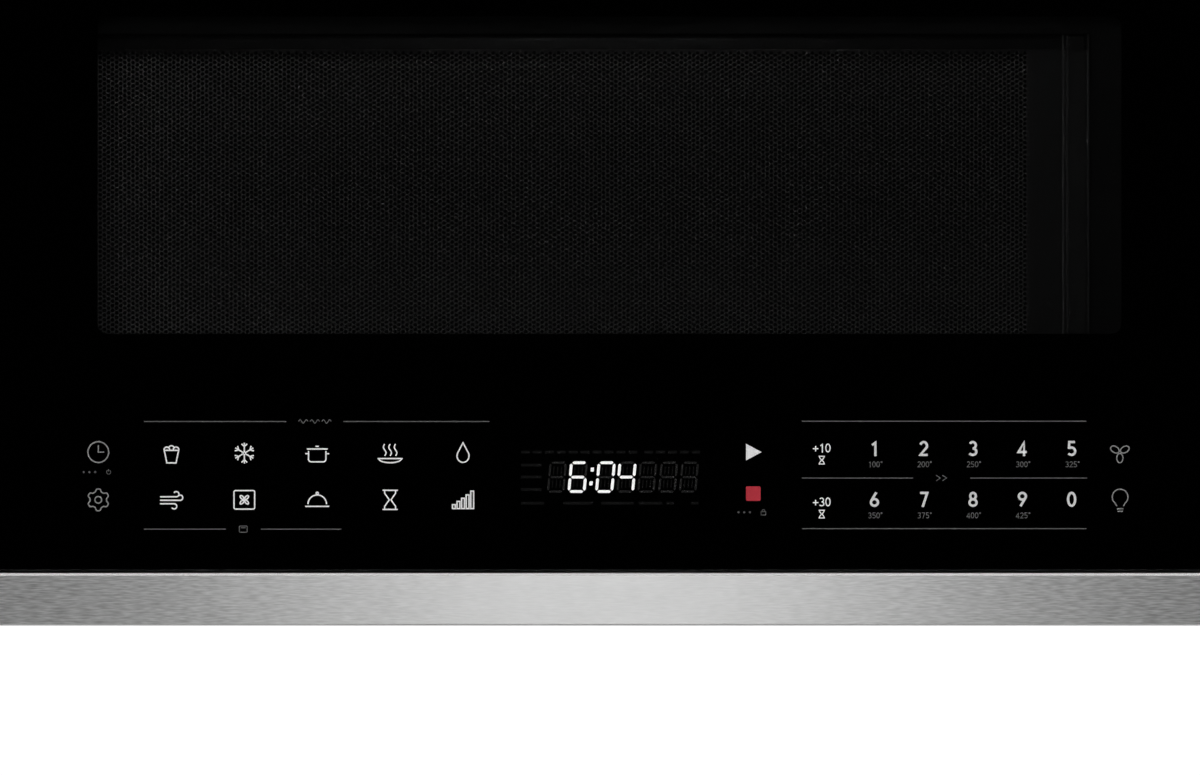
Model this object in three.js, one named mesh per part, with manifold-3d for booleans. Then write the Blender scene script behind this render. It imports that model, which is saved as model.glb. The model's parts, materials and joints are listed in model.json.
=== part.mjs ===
// A low-profile over the range microwave oven with convection, as an assembly of separate pieces.
// Millimetres, +Z up. The door faces -Y and hangs on its left edge; the wall is behind, at +Y.
// The origin is the middle of the footprint, at the level of the underside.

import * as THREE from 'three';
import { mergeVertices } from 'three/addons/utils/BufferGeometryUtils.js';
import Module from 'manifold-3d';

const wasm = await Module();
wasm.setup();

// ---------------------------------------------------------------- driving dimensions

const fit = 0.3; // gap between pieces that seat on each other
const running = 0.8; // gap round pieces that move past each other
const grid = 1e-4; // coordinates are rounded to this

// Sheet and the room round the cavity
const caseSheet = 1;
const cavitySheet = 1;
const cavityWidth = 510;
const cavityDepth = 350;
const cavityHeight = 165;
const leftBay = 67; // convection fan
const rightBay = 178; // magnetron and its supply
const baseBay = 64; // turntable motor, filters and lamp
const topBay = 28; // exhaust duct
const rearBay = 71.5; // ventilation blower

// Door, from the front to the back
const trimProud = 1.2; // the steel trim stands this far in front of the glass
const glassThickness = 4;
const carrierDepth = 12;
const panDepth = 19;
const coverThickness = 3.2;
const doorGap = 2.5; // closed door to front frame
const doorSideGap = 1; // door edge inside the case side
const trimHeight = 21;
const trimLift = 0.8; // trim's lower edge above the underside
const trimSheet = 1.5;
const doorSheet = 1;
const grilleHeight = 9.2;
const grilleGap = 3; // door top to grille
const hingePlate = 2;
const hingePinRadius = 3;
const hingeInset = 13.5; // hinge axis inside the case side
const hingeSetback = 20; // hinge axis in front of the front frame
const hingePinReach = 12;
const hingeFoot = 26; // height of the bracket's foot behind the frame

// Wall mounting
const wallPlate = 1.5;
const wallPlateGap = 0.5;

// Exhaust
const exhaustWidth = 254;
const exhaustDepth = 83;
const exhaustFromBack = 8;
const collarHeight = 15;
const collarWall = 1.5;

// Turntable
const trayRadius = 160;
const trayThickness = 5;
const trayRim = 10;
const rollerRadius = 8;
const rollerWidth = 7;
const rollerTrack = 90;
const axleRadius = 2;
const couplerRadius = 11;
const motorShaftRadius = 3.5;

// Underside
const filterWidth = 190;
const filterDepth = 140;
const filterThickness = 8;
const filterSpread = 210; // middle of each filter from the centre line
const filterFromRear = 110; // rear edge of the filters from the back panel
const lampWidth = 120;
const lampDepth = 40;
const lampThickness = 5;
const lampFromFront = 22;
const skinLift = 0.5; // filters and lamp cover stay this far above the underside

// ---------------------------------------------------------------- planes that follow from them

const width = 2 * caseSheet + 2 * cavitySheet + leftBay + cavityWidth + rightBay;
const xLeft = -width / 2;
const xRight = width / 2;
const xCavityLeft = xLeft + caseSheet + leftBay + cavitySheet;
const xCavityRight = xCavityLeft + cavityWidth;
const xCavity = (xCavityLeft + xCavityRight) / 2;
const xBayRight = xCavityRight + cavitySheet; // outer face of the cavity's right wall

const zFloor = caseSheet + baseBay + cavitySheet;
const zCeiling = zFloor + cavityHeight;
const zTopPanel = zCeiling + cavitySheet + topBay; // underside of the top panel
const height = zTopPanel + caseSheet;

const doorDepth = trimProud + glassThickness + carrierDepth + fit + panDepth + fit + coverThickness;
const depth =
  doorDepth + doorGap + 2 * cavitySheet + cavityDepth + rearBay + caseSheet + wallPlateGap + wallPlate;
const yFront = -depth / 2;
const yBack = depth / 2;
const yGlass = yFront + trimProud;
const yGlassBack = yGlass + glassThickness;
const yCarrierBack = yGlassBack + carrierDepth;
const yPan = yCarrierBack + fit;
const yPanBack = yPan + panDepth;
const yCover = yPanBack + fit;
const yDoorBack = yCover + coverThickness;
const yFrame = yDoorBack + doorGap;
const yCavity = yFrame + cavitySheet;
const yCavityBack = yCavity + cavityDepth;
const yRearBay = yCavityBack + cavitySheet;
const yBackPanel = yRearBay + rearBay;

const zGrille = zTopPanel - fit - grilleHeight;
const zDoorTop = zGrille - grilleGap;
const zTrimTop = trimHeight;
const zGlass = zTrimTop + fit;
const zPanBottom = zTrimTop + 2 * fit + hingePlate + fit;
const zPanTop = zDoorTop - 1.5;
const xDoorLeft = xLeft + doorSideGap;
const xDoorRight = xRight - doorSideGap;
const xHinge = xLeft + hingeInset;
const yHinge = yFrame - hingeSetback;
const hingeHalf = hingePinRadius + 4;
const zUpperLeaf = [zDoorTop + fit, zDoorTop + fit + hingePlate];
const zLowerLeaf = [zTrimTop + 2 * fit, zTrimTop + 2 * fit + hingePlate];

// ---------------------------------------------------------------- solids

// The closed mesh of a three.js geometry as a solid that can be joined and cut. Coordinates are snapped
// to a fine grid, so that faces meant to be flush are exactly flush.
function solid(geometry) {
  const plain = geometry.index ? geometry.toNonIndexed() : geometry.clone();
  for (const name of Object.keys(plain.attributes)) {
    if (name !== 'position') plain.deleteAttribute(name);
  }
  const merged = mergeVertices(plain, 1e-4);
  merged.attributes.position.array.forEach((value, i, array) => {
    array[i] = Math.round(value / grid) * grid;
  });
  return new wasm.Manifold(
    new wasm.Mesh({
      numProp: 3,
      vertProperties: merged.attributes.position.array,
      triVerts: new Uint32Array(merged.index.array),
    }),
  );
}

// A box between two values on each axis.
function box([x0, x1], [y0, y1], [z0, z1]) {
  const geometry = new THREE.BoxGeometry(x1 - x0, y1 - y0, z1 - z0);
  geometry.translate((x0 + x1) / 2, (y0 + y1) / 2, (z0 + z1) / 2);
  return solid(geometry);
}

// Turns +Z to the named axis without mirroring.
const turns = {
  x: new THREE.Matrix4().set(0, 0, 1, 0, 1, 0, 0, 0, 0, 1, 0, 0, 0, 0, 0, 1),
  y: new THREE.Matrix4().set(0, 1, 0, 0, 0, 0, 1, 0, 1, 0, 0, 0, 0, 0, 0, 1),
  z: new THREE.Matrix4(),
};

function along(geometry, axis) {
  return geometry.applyMatrix4(turns[axis]);
}

// A round bar along an axis, from one value on it to another, through a point.
function rod(axis, [x, y, z], radius, from, to, sides = 24) {
  const geometry = new THREE.CylinderGeometry(radius, radius, to - from, sides);
  geometry.rotateX(Math.PI / 2);
  geometry.translate(0, 0, (from + to) / 2);
  along(geometry, axis);
  const place = { x: [0, y, z], y: [x, 0, z], z: [x, y, 0] }[axis];
  geometry.translate(...place);
  return solid(geometry);
}

// A flat outline pushed along an axis. Points are [y, z] for x, [x, z] for y and [x, y] for z.
function prism(axis, points, from, to) {
  const outline = points.map(([u, v]) => (axis === 'y' ? new THREE.Vector2(v, u) : new THREE.Vector2(u, v)));
  const settings = { depth: to - from, bevelEnabled: false };
  const geometry = new THREE.ExtrudeGeometry(new THREE.Shape(outline), settings);
  geometry.translate(0, 0, from);
  return solid(along(geometry, axis));
}

// A rectangle with round corners, as points.
function rounded([u0, u1], [v0, v1], radius, steps = 3) {
  const corners = [[u1, v1, 0], [u0, v1, 1], [u0, v0, 2], [u1, v0, 3]];
  return corners.flatMap(([u, v, quarter]) => {
    const cu = u + (quarter === 0 || quarter === 3 ? -radius : radius);
    const cv = v + (quarter < 2 ? -radius : radius);
    return Array.from({ length: steps + 1 }, (_, i) => {
      const angle = ((quarter + i / steps) * Math.PI) / 2;
      return [cu + radius * Math.cos(angle), cv + radius * Math.sin(angle)];
    });
  });
}

// A body of revolution about a vertical axis. The profile is [radius, z] and closes on itself or the axis.
function turned(profile, [x, y], sides) {
  const geometry = new THREE.LatheGeometry(profile.map(([r, z]) => new THREE.Vector2(r, z)), sides);
  geometry.rotateX(Math.PI / 2);
  geometry.translate(x, y, 0);
  return solid(geometry);
}

function widen([from, to], by) {
  return [from - by, to + by];
}

// The range of a given width about a middle.
function about(middle, width) {
  return [middle - width / 2, middle + width / 2];
}

// A row of evenly spaced middles about a centre.
function spread(count, pitch, centre = 0) {
  return Array.from({ length: count }, (_, i) => centre + (i - (count - 1) / 2) * pitch);
}

function join(...parts) {
  return parts.flat().reduce((sum, part) => sum.add(part));
}

function cut(body, ...tools) {
  return tools.flat().reduce((rest, tool) => rest.subtract(tool), body);
}

// Copies of a solid turned about an axis through a point.
function around(axis, [x, y, z], count, make) {
  return Array.from({ length: count }, (_, i) => {
    const angle = (360 * i) / count;
    const turn = { x: [angle, 0, 0], y: [0, angle, 0], z: [0, 0, angle] }[axis];
    return make(i).translate([-x, -y, -z]).rotate(turn).translate([x, y, z]);
  });
}

// ---------------------------------------------------------------- materials

function material(color, roughness, metalness, extra = {}) {
  return new THREE.MeshStandardMaterial({ color, roughness, metalness, ...extra });
}

const materials = {
  stainless: material(0xb8b8b8, 0.32, 1),
  blackGlass: material(0x050505, 0.05, 0),
  blackPlastic: material(0x101010, 0.5, 0),
  blackPaint: material(0x151515, 0.4, 0.2),
  screenPaint: material(0x1a1a1a, 0.45, 0.4),
  galvanised: material(0xa8adb0, 0.42, 0.9),
  enamel: material(0x9a9c9c, 0.35, 0.1),
  clearGlass: material(0xdfeae6, 0.04, 0, { transparent: true, opacity: 0.35 }),
  whitePlastic: material(0xd8d8d2, 0.45, 0),
  aluminium: material(0xb9bcbf, 0.38, 1),
  board: material(0x1d5a34, 0.5, 0),
  darkSteel: material(0x5a5c5e, 0.45, 0.9),
  carbon: material(0x0b0b0b, 0.95, 0),
  mica: material(0xb9b39b, 0.55, 0),
  rubber: material(0x0e0e0e, 0.8, 0),
};

const group = new THREE.Group();

// Adds a solid to the assembly as a named piece.
function add(name, body, finish) {
  const { numProp, vertProperties, triVerts } = body.getMesh();
  const geometry = new THREE.BufferGeometry();
  const positions = new Float32Array((vertProperties.length / numProp) * 3);
  for (let i = 0; i < positions.length / 3; i += 1) {
    positions.set(vertProperties.subarray(i * numProp, i * numProp + 3), i * 3);
  }
  geometry.setAttribute('position', new THREE.BufferAttribute(positions, 3));
  geometry.setIndex(new THREE.BufferAttribute(new Uint32Array(triVerts), 1));
  geometry.computeVertexNormals();
  const mesh = new THREE.Mesh(geometry, materials[finish]);
  mesh.name = name;
  group.add(mesh);
}

// ---------------------------------------------------------------- case

const flange = 9; // folded edges of the case sheets
const boltInset = 150; // cabinet bolts from the sides
const boltFromFront = 60;
const boltHole = 4;
const cordHole = 14;
const cordFromRight = 55;
const cordFromBack = 60;
const grommetBore = 9;
const grommetFlange = 3;

// A side sheet with its rear edge folded inwards.
function makeSidePanel(side) {
  const [outer, into] = side === 'left' ? [xLeft, 1] : [xRight, -1];
  const rear = yBackPanel - fit;
  const outline = [
    [outer, yFrame],
    [outer + into * caseSheet, yFrame],
    [outer + into * caseSheet, rear - caseSheet],
    [outer + into * (caseSheet + flange), rear - caseSheet],
    [outer + into * (caseSheet + flange), rear],
    [outer, rear],
  ];
  return prism('z', side === 'left' ? outline : outline.reverse(), fit, zTopPanel - fit);
}

const xBolts = [xLeft + boltInset, xRight - boltInset];
const yExhaustBack = yBackPanel + caseSheet - exhaustFromBack;
const yExhaust = [yExhaustBack - exhaustDepth, yExhaustBack];
const xExhaust = [-exhaustWidth / 2, exhaustWidth / 2];
const cordExit = [xRight - cordFromRight, yBackPanel - cordFromBack];

function makeTopPanel() {
  const sheet = box([xLeft, xRight], [yGlass, yBackPanel + caseSheet], [zTopPanel, height]);
  const through = widen([zTopPanel, height], 1);
  const bolts = xBolts.map((x) => rod('z', [x, yCavity + boltFromFront, 0], boltHole, ...through, 16));
  const exhaust = box(xExhaust, yExhaust, through);
  const cord = rod('z', [...cordExit, 0], cordHole, ...through, 24);
  return cut(sheet, bolts, exhaust, cord);
}

// Two hooks on the wall plate carry the oven by slots in its back panel.
const hangers = { x: [-180, 180], z: 30, width: 40, sheet: 2, reach: 5, lip: 5 };
const hangerSlot = { side: 2, below: 4, above: 8 };

function makeBackPanel() {
  const x = [xLeft + caseSheet + fit, xRight - caseSheet - fit];
  const sheet = box(x, [yBackPanel, yBackPanel + caseSheet], [fit, zTopPanel - fit]);
  const slots = hangers.x.map((middle) =>
    box(
      about(middle, hangers.width + 2 * hangerSlot.side),
      widen([yBackPanel, yBackPanel + caseSheet], 1),
      [hangers.z - hangerSlot.below, hangers.z + hangerSlot.above],
    ),
  );
  return cut(sheet, slots);
}

// The plate that stays on the wall.
const plateInset = 40;
const plateBottom = 16;
const plateTop = 244;
const plateCorner = 8;
const plateHoleRadius = 5;
const plateHolePitch = 70;
const plateHoleColumns = 9;
const plateHolesFromTop = 20;

function makeWallPlate() {
  const y = [yBack - wallPlate, yBack];
  const outline = rounded([xLeft + plateInset, xRight - plateInset], [plateBottom, plateTop], plateCorner, 2);
  const sheet = prism('y', outline, ...y);
  const holes = [plateTop - plateHolesFromTop, (plateTop + plateBottom) / 2].flatMap((z) =>
    spread(plateHoleColumns, plateHolePitch).map((x) =>
      rod('y', [x, 0, z], plateHoleRadius, ...widen(y, 1), 8),
    ),
  );
  const tip = yBackPanel - hangers.reach;
  const hooks = hangers.x.map((middle) => {
    const x = about(middle, hangers.width);
    return join(
      box(x, [tip, y[0] + 0.1], [hangers.z - hangers.sheet, hangers.z]),
      box(x, [tip, tip + hangers.sheet], [hangers.z - 0.1, hangers.z + hangers.lip]),
    );
  });
  return join(cut(sheet, holes), hooks);
}

// ---------------------------------------------------------------- underside

const yFilterRear = yBackPanel - filterFromRear;
const yFilter = [yFilterRear - filterDepth, yFilterRear];
const xFilters = [-filterSpread, filterSpread];
const xLamp = [-lampWidth / 2, lampWidth / 2];
const yLamp = [yFrame + lampFromFront, yFrame + lampFromFront + lampDepth];
const zSkin = skinLift;

function makeBasePan() {
  const x = [xLeft + caseSheet + fit, xRight - caseSheet - fit];
  const y = [yCavity + fit, yBackPanel - caseSheet - 2 * fit];
  const inside = box(widen(x, -caseSheet), widen(y, -caseSheet), [caseSheet, flange + 1]);
  const pan = cut(box(x, y, [0, flange]), inside);
  const fillings = [...xFilters.map((middle) => [about(middle, filterWidth), yFilter]), [xLamp, yLamp]];
  const windows = fillings.map(([u, v]) => [widen(u, running), widen(v, running)]);
  const collarZ = [caseSheet - 0.1, flange];
  const collars = windows.map(([u, v]) => box(widen(u, caseSheet), widen(v, caseSheet), collarZ));
  return cut(
    join(pan, collars),
    windows.map(([u, v]) => box(u, v, [-1, flange + 1])),
  );
}

const stubRadius = 1.5;

// The round rear edge that a filter or the lamp cover swings on, with a stub at each end.
function rolledEdge(x, yRear, thickness) {
  const centre = [0, yRear - thickness / 2, zSkin + thickness / 2];
  const stubs = widen(x, running - fit);
  return join(rod('x', centre, thickness / 2, ...x, 16), rod('x', centre, stubRadius, ...stubs, 10));
}

// A grease filter: an aluminium frame round a layered mesh, with a finger ring at the front.
const filterRim = 8;
const filterMesh = 3;
const fingerRing = { radius: 7, bore: 5, thickness: 2.6, lift: 0.4, tongue: 6 };

function makeGreaseFilter(middle) {
  const x = about(middle, filterWidth);
  const z = [zSkin, zSkin + filterThickness];
  const inside = [widen(x, -filterRim), widen(yFilter, -filterRim)];
  const frame = cut(box(x, [yFilter[0], yFilter[1] - filterThickness / 2], z), box(...inside, widen(z, 1)));
  const meshZ = about(zSkin + filterThickness / 2, filterMesh);
  const mesh = box(...inside.map((range) => widen(range, 0.1)), meshZ);
  const centre = [middle, inside[1][0] + fingerRing.radius + 1, 0];
  const ringZ = [z[0] + fingerRing.lift, z[0] + fingerRing.lift + fingerRing.thickness];
  const ring = cut(
    rod('z', centre, fingerRing.radius, ...ringZ, 20),
    rod('z', centre, fingerRing.bore, ...widen(ringZ, 1), 20),
  );
  const tongue = box(about(middle, fingerRing.tongue), [inside[1][0] - 1, inside[1][0] + 2], ringZ);
  return join(frame, rolledEdge(x, yFilter[1], filterThickness), mesh, ring, tongue);
}

const lensRim = 6;
const lensFloor = 2;

function makeLampCover() {
  const plate = box(xLamp, [yLamp[0], yLamp[1] - lampThickness / 2], [zSkin, zSkin + lampThickness]);
  const hollow = box(
    widen(xLamp, -lensRim),
    widen(yLamp, -lensRim),
    [zSkin + lensFloor, zSkin + lampThickness + 1],
  );
  return cut(join(plate, rolledEdge(xLamp, yLamp[1], lampThickness)), hollow);
}

// The light board bridges the lamp opening on the base pan's collar, with its heat sink on top.
const boardThickness = 1.6;
const lampBoardLap = 4;
const emitters = { count: 4, pitch: 24, size: 6, thickness: 1.2, fromFront: 18 };
const lampSink = { count: 6, pitch: 20, fin: 2, height: 7.4 };

function makeCooktopLamp() {
  const z = flange + fit;
  const top = z + boardThickness;
  const sheet = box(widen(xLamp, lampBoardLap), widen(yLamp, lampBoardLap), [z, top]);
  const lights = spread(emitters.count, emitters.pitch).map((x) =>
    box(
      about(x, emitters.size),
      about(yLamp[0] + emitters.fromFront, emitters.size),
      [z - emitters.thickness, z + 0.1],
    ),
  );
  const fins = spread(lampSink.count, lampSink.pitch).map((x) =>
    box(about(x, lampSink.fin), yLamp, [top - 0.1, top + lampSink.height]),
  );
  return join(sheet, lights, fins);
}

// ---------------------------------------------------------------- cavity

const shaftHole = motorShaftRadius + 1.5;
const lampGrid = 4; // holes along each side of the oven lamp's screen
const lampHole = 2;
const lampPitch = 7;

const yTurntable = (yCavity + yCavityBack) / 2;
const turntable = [xCavity, yTurntable];

function makeCavityFloor() {
  const plate = box([xCavityLeft, xCavityRight], [yCavity, yCavityBack], [zFloor - cavitySheet, zFloor]);
  return cut(plate, rod('z', [...turntable, 0], shaftHole, zFloor - 5, zFloor + 5, 20));
}

function makeCavityCeiling() {
  return box([xCavityLeft, xCavityRight], [yCavity, yCavityBack], [zCeiling, zCeiling + cavitySheet]);
}

const zWall = [zFloor - cavitySheet, zCeiling + cavitySheet];
const zCavity = (zFloor + zCeiling) / 2;

// Convection fan behind a ring of holes in the left wall
const convectionBox = 74; // half the side of the fan housing
const convectionDepth = 36;
const convectionHole = 4.2;
const convectionRing = 20; // hole rings are this far apart
const convectionRings = 2;
const convectionCentre = [yTurntable, zCavity];

function makeLeftWall() {
  const x = [xCavityLeft - cavitySheet, xCavityLeft];
  const plate = box(x, [yCavity, yCavityBack], zWall);
  const [y, z] = convectionCentre;
  const holes = Array.from({ length: convectionRings + 1 }, (_, ring) => {
    const count = Math.max(1, ring * 6);
    return around('x', [0, y, z], count, () =>
      rod('x', [0, y + ring * convectionRing, z], convectionHole, ...widen(x, 1), 6),
    );
  });
  return cut(plate, holes.flat());
}

const waveguide = {
  y: [yTurntable - 10, yTurntable + 80],
  z: [zCeiling - 95, zCeiling - 15],
  depth: 22,
  wall: 1.2,
};
const feedInset = 14;
const ovenLampPlace = [yCavity + 70, zCeiling - 45];

function makeRightWall() {
  const x = [xCavityRight, xCavityRight + cavitySheet];
  const plate = box(x, [yCavity, yCavityBack], zWall);
  const feed = box(widen(x, 1), widen(waveguide.y, -feedInset), widen(waveguide.z, -feedInset));
  const [rows, columns] = ovenLampPlace.map((centre) => spread(lampGrid, lampPitch, centre));
  const holes = rows.flatMap((y) => columns.map((z) => rod('x', [0, y, z], lampHole, ...widen(x, 1), 6)));
  return cut(plate, feed, holes);
}

function makeRearWall() {
  return box([xCavityLeft - cavitySheet, xCavityRight + cavitySheet], [yCavityBack, yRearBay], zWall);
}

// ---------------------------------------------------------------- latch places, shared by door and frame

const latchX = xCavityRight + 41;
const latchHalf = 5;
const latchTravel = 5;
const hookHeight = 12;
const barbDrop = 5;
const hookZ = [zFloor + 34, zCeiling - 17]; // underside of each hook
const hookTip = yFrame + 16;
const latchPlay = 4;
const boardWindow = 18; // half the width of the front frame's window at the latch board
const boardMargin = 14; // that window above and below the hooks

function hookSlot(z, y) {
  return box(
    [latchX - latchHalf - latchPlay, latchX + latchHalf + latchPlay],
    y,
    [z - barbDrop - latchPlay, z + hookHeight + latchTravel + latchPlay],
  );
}

function makeFrontFrame() {
  const y = [yFrame, yFrame + cavitySheet - fit];
  const through = widen(y, 1);
  const plate = box([xLeft + caseSheet + fit, xRight - caseSheet - fit], y, [fit, zDoorTop]);
  const mouth = box([xCavityLeft, xCavityRight], through, [zFloor, zCeiling]);
  const leaf = box(widen([xHinge, xHinge], hingeHalf + fit), through, widen(zLowerLeaf, fit));
  const latch = box(
    widen([latchX, latchX], boardWindow),
    through,
    widen([hookZ[0], hookZ[1] + hookHeight], boardMargin),
  );
  return cut(plate, mouth, leaf, latch);
}

// ---------------------------------------------------------------- hinges

// An angle bracket behind the front frame whose leaf reaches out and carries the pin. The upper leaf
// passes over the frame's top edge, the lower one through a slot.
function makeHinge(end) {
  const z = end === 'upper' ? zUpperLeaf : zLowerLeaf;
  const x = [xHinge - hingeHalf, xHinge + hingeHalf];
  const [front, footFront] = [yHinge - hingePinRadius - 1.5, yFrame + cavitySheet];
  const [face, back, up] = end === 'upper' ? [z[0], z[1], -1] : [z[1], z[0], 1];
  const outline = [
    [front, face],
    [footFront, face],
    [footFront, face + up * hingeFoot],
    [footFront + hingePlate, face + up * hingeFoot],
    [footFront + hingePlate, back],
    [front, back],
  ];
  const bracket = prism('x', end === 'upper' ? outline.reverse() : outline, ...x);
  const reach = [face - up * 0.1, face + up * hingePinReach].sort((a, b) => a - b);
  return join(bracket, rod('z', [xHinge, yHinge, 0], hingePinRadius, ...reach, 16));
}

// ---------------------------------------------------------------- door

const glassChamfer = 0.8;
const glassCorner = 3;

function makeDoorGlass() {
  const pane = (inset, y) => {
    const [x, z] = [widen([xDoorLeft, xDoorRight], -inset), widen([zGlass, zDoorTop], -inset)];
    return prism('y', rounded(x, z, glassCorner), ...y);
  };
  const body = pane(0, [yGlass + glassChamfer, yGlassBack]);
  return join(body, pane(glassChamfer, [yGlass, yGlass + glassChamfer + 0.01]));
}

// The steel strip along the bottom: a folded channel whose open underside is the finger pull.
const pullDepth = 15;
const trimChamfer = 1;
const hemHeight = 4;
const hemRound = 0.6;

function makeDoorTrim() {
  const back = yFront + pullDepth;
  const outline = [
    [yFront, trimLift + hemRound],
    [yFront, zTrimTop - trimChamfer],
    [yFront + trimChamfer, zTrimTop],
    [back, zTrimTop],
    [back, zTrimTop - trimSheet],
    [yFront + trimSheet, zTrimTop - trimSheet],
    [yFront + trimSheet, trimLift + hemHeight],
    [yFront + 2 * trimSheet, trimLift + hemHeight],
    [yFront + 2 * trimSheet, trimLift + hemRound],
    [yFront + 2 * trimSheet - hemRound, trimLift],
    [yFront + hemRound, trimLift],
  ];
  return prism('x', outline, xDoorLeft, xDoorRight);
}

// The moulded carrier that the glass is bonded to.
const carrierInset = { side: 2, top: 0.6 };
const carrierWall = 2.5;
const bond = { side: 14, bottom: 4, top: 7, thickness: 2 };
const shelfThickness = 2.5;
const posts = { x: [-300, 300], width: 4 };
const hingeSkirt = 5; // the skirt under the carrier starts this far from the lower hinge's leaf

// The shelf between the controls and the window is just under the screen's lip.
const screenInset = { left: 11.5, right: 11.5, bottom: 36, top: 3.2 };
const screenLip = { side: 5, end: 3 };
const screenX = [xCavityLeft + screenInset.left, xCavityRight - screenInset.right];
const screenZ = [zFloor + screenInset.bottom, zCeiling - screenInset.top];
const shelfZ = screenZ[0] - screenLip.end - fit - shelfThickness;

function makeGlassCarrier() {
  const x = widen([xDoorLeft, xDoorRight], -carrierInset.side);
  const z = [zPanBottom, zDoorTop - carrierInset.top];
  const y = [yGlassBack, yCarrierBack];
  const wall = cut(box(x, y, z), box(widen(x, -carrierWall), widen(y, 1), widen(z, -carrierWall)));
  const bondY = [y[0], y[0] + bond.thickness];
  const band = cut(
    box(x, bondY, z),
    box(widen(x, -bond.side), widen(bondY, 1), [z[0] + bond.bottom, z[1] - bond.top]),
  );
  const shelf = box(widen(x, -1), y, [shelfZ, shelfZ + shelfThickness]);
  const uprights = posts.x.map((middle) => box(about(middle, posts.width), y, [z[0] + 1, shelfZ + 1]));
  const skirt = box([xHinge + hingeHalf + hingeSkirt, x[1]], y, [zTrimTop + fit, z[0] + carrierWall]);
  return join(wall, band, shelf, uprights, skirt);
}

// Inner pan: closed at the front round the window, open to the back, with bored blocks for the hinge pins.
const panInset = 7.5; // inside the case
const panX = [xLeft + panInset, xRight - panInset];
const windowLap = { side: 8, bottom: 8, top: 5 };
const guideLength = 8;
const guides = [zFloor + 60, zCeiling - 40];
const hingeBlock = { height: 13.5, side: 9 };

function makeDoorPan() {
  const y = [yPan, yPanBack];
  const z = [zPanBottom, zPanTop];
  const shell = cut(
    box(panX, y, z),
    box(widen(panX, -doorSheet), [y[0] + doorSheet, y[1] + 1], widen(z, -doorSheet)),
  );
  const window = box(
    widen(screenX, -windowLap.side),
    [y[0] - 1, y[0] + doorSheet + 2],
    [screenZ[0] + windowLap.bottom, screenZ[1] - windowLap.top],
  );
  const rails = guides.map((low) => latchGuide([low, low + guideLength]));
  const anchorZ = springZ[0] - fit;
  const anchor = box(about(latchX, 8), [y[0] + 0.5, latchY[1]], [anchorZ - 6, anchorZ]);
  const ends = [
    [z[0] + 0.5, z[0] + 0.5 + hingeBlock.height],
    [z[1] - 0.5 - hingeBlock.height, z[1] - 0.5],
  ];
  const blocks = ends.map((end) =>
    box([panX[0] + 0.5, xHinge + hingeBlock.side], [y[0] + 0.5, yHinge + hingeBlock.side], end),
  );
  const axis = [xHinge, yHinge, 0];
  const bores = ends.map((end) => rod('z', axis, hingePinRadius + fit, ...widen(end, 1.5), 20));
  return cut(join(cut(shell, window), rails, anchor, blocks), bores);
}

// Pressed screen plate: a raised field, perforated in the finished part, with a rib at its right edge.
const screenRaise = 5;
const rib = { fromEdge: 10, radius: 1.1, fromEnds: 2 };

function makeDoorScreen() {
  const back = yPan - fit;
  const front = back - screenRaise;
  const field = cut(
    box(screenX, [front, back - 0.3], screenZ),
    box(widen(screenX, -doorSheet), [front + doorSheet, back + 1], widen(screenZ, -doorSheet)),
  );
  const lip = cut(
    box(widen(screenX, screenLip.side), [back - doorSheet, back], widen(screenZ, screenLip.end)),
    box(widen(screenX, -0.5), [back - 3, back + 1], widen(screenZ, -0.5)),
  );
  const ridge = [screenX[1] - rib.fromEdge, front + 0.3, 0];
  return join(field, lip, rod('z', ridge, rib.radius, ...widen(screenZ, -rib.fromEnds), 12));
}

// Comb of choke fins round the window, spot welded to the pan.
const chokeOut = { side: 16, bottom: 16, top: 10 }; // choke ring outside the cavity mouth
const chokeFoot = 9;
const finPitch = 25;
const finSlot = 3;
const finFromCorner = 15;
const finRoot = 5;

function makeChokeRing() {
  const y = [yPan + doorSheet + fit, yPanBack - 2];
  const x = widen([xCavityLeft, xCavityRight], chokeOut.side);
  const z = [zFloor - chokeOut.bottom, zCeiling + chokeOut.top];
  const ring = cut(box(x, y, z), box(widen(x, -doorSheet), widen(y, 1), widen(z, -doorSheet)));
  const footY = [y[0], y[0] + doorSheet];
  const foot = cut(box(x, footY, z), box(widen(x, -chokeFoot), widen(footY, 1), widen(z, -chokeFoot)));
  const slotsAlong = ([from, to]) => {
    const count = Math.floor((to - from - 2 * finFromCorner) / finPitch);
    return spread(count, finPitch, (from + to) / 2).map((middle) => about(middle, finSlot));
  };
  const slotY = [y[0] + finRoot, y[1] + 1];
  const upright = slotsAlong(x).map((slot) => box(slot, slotY, widen(z, 1)));
  const level = slotsAlong(z).map((slot) => box(widen(x, 1), slotY, slot));
  return cut(join(ring, foot), upright, level);
}

const innerWindow = { x: widen(screenX, -4), z: [screenZ[0] + 4, screenZ[1] - 2] };
const innerPane = 2;
const sightInset = 6; // the cover holds the inner window by this much all round
const coverRim = { wall: 2, depth: 8 };

function makeChokeCover() {
  const y = [yCover, yDoorBack];
  const plate = prism('y', rounded(panX, [zPanBottom, zPanTop], 3, 2), ...y);
  const [sightX, sightZ] = [widen(innerWindow.x, -sightInset), widen(innerWindow.z, -sightInset)];
  const sight = prism('y', rounded(sightX, sightZ, sightInset), ...widen(y, 1));
  const rimY = [yPanBack - coverRim.depth, yCover + 0.1];
  const rim = cut(
    box(widen(innerWindow.x, coverRim.wall), rimY, widen(innerWindow.z, coverRim.wall)),
    box(widen(innerWindow.x, fit), widen(rimY, 1), widen(innerWindow.z, fit)),
  );
  const slots = hookZ.map((z) => hookSlot(z, widen(y, 1)));
  return cut(join(cut(plate, sight), rim), slots);
}

function makeInnerWindow() {
  return box(innerWindow.x, [yCover - fit - innerPane, yCover - fit], innerWindow.z);
}

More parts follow.
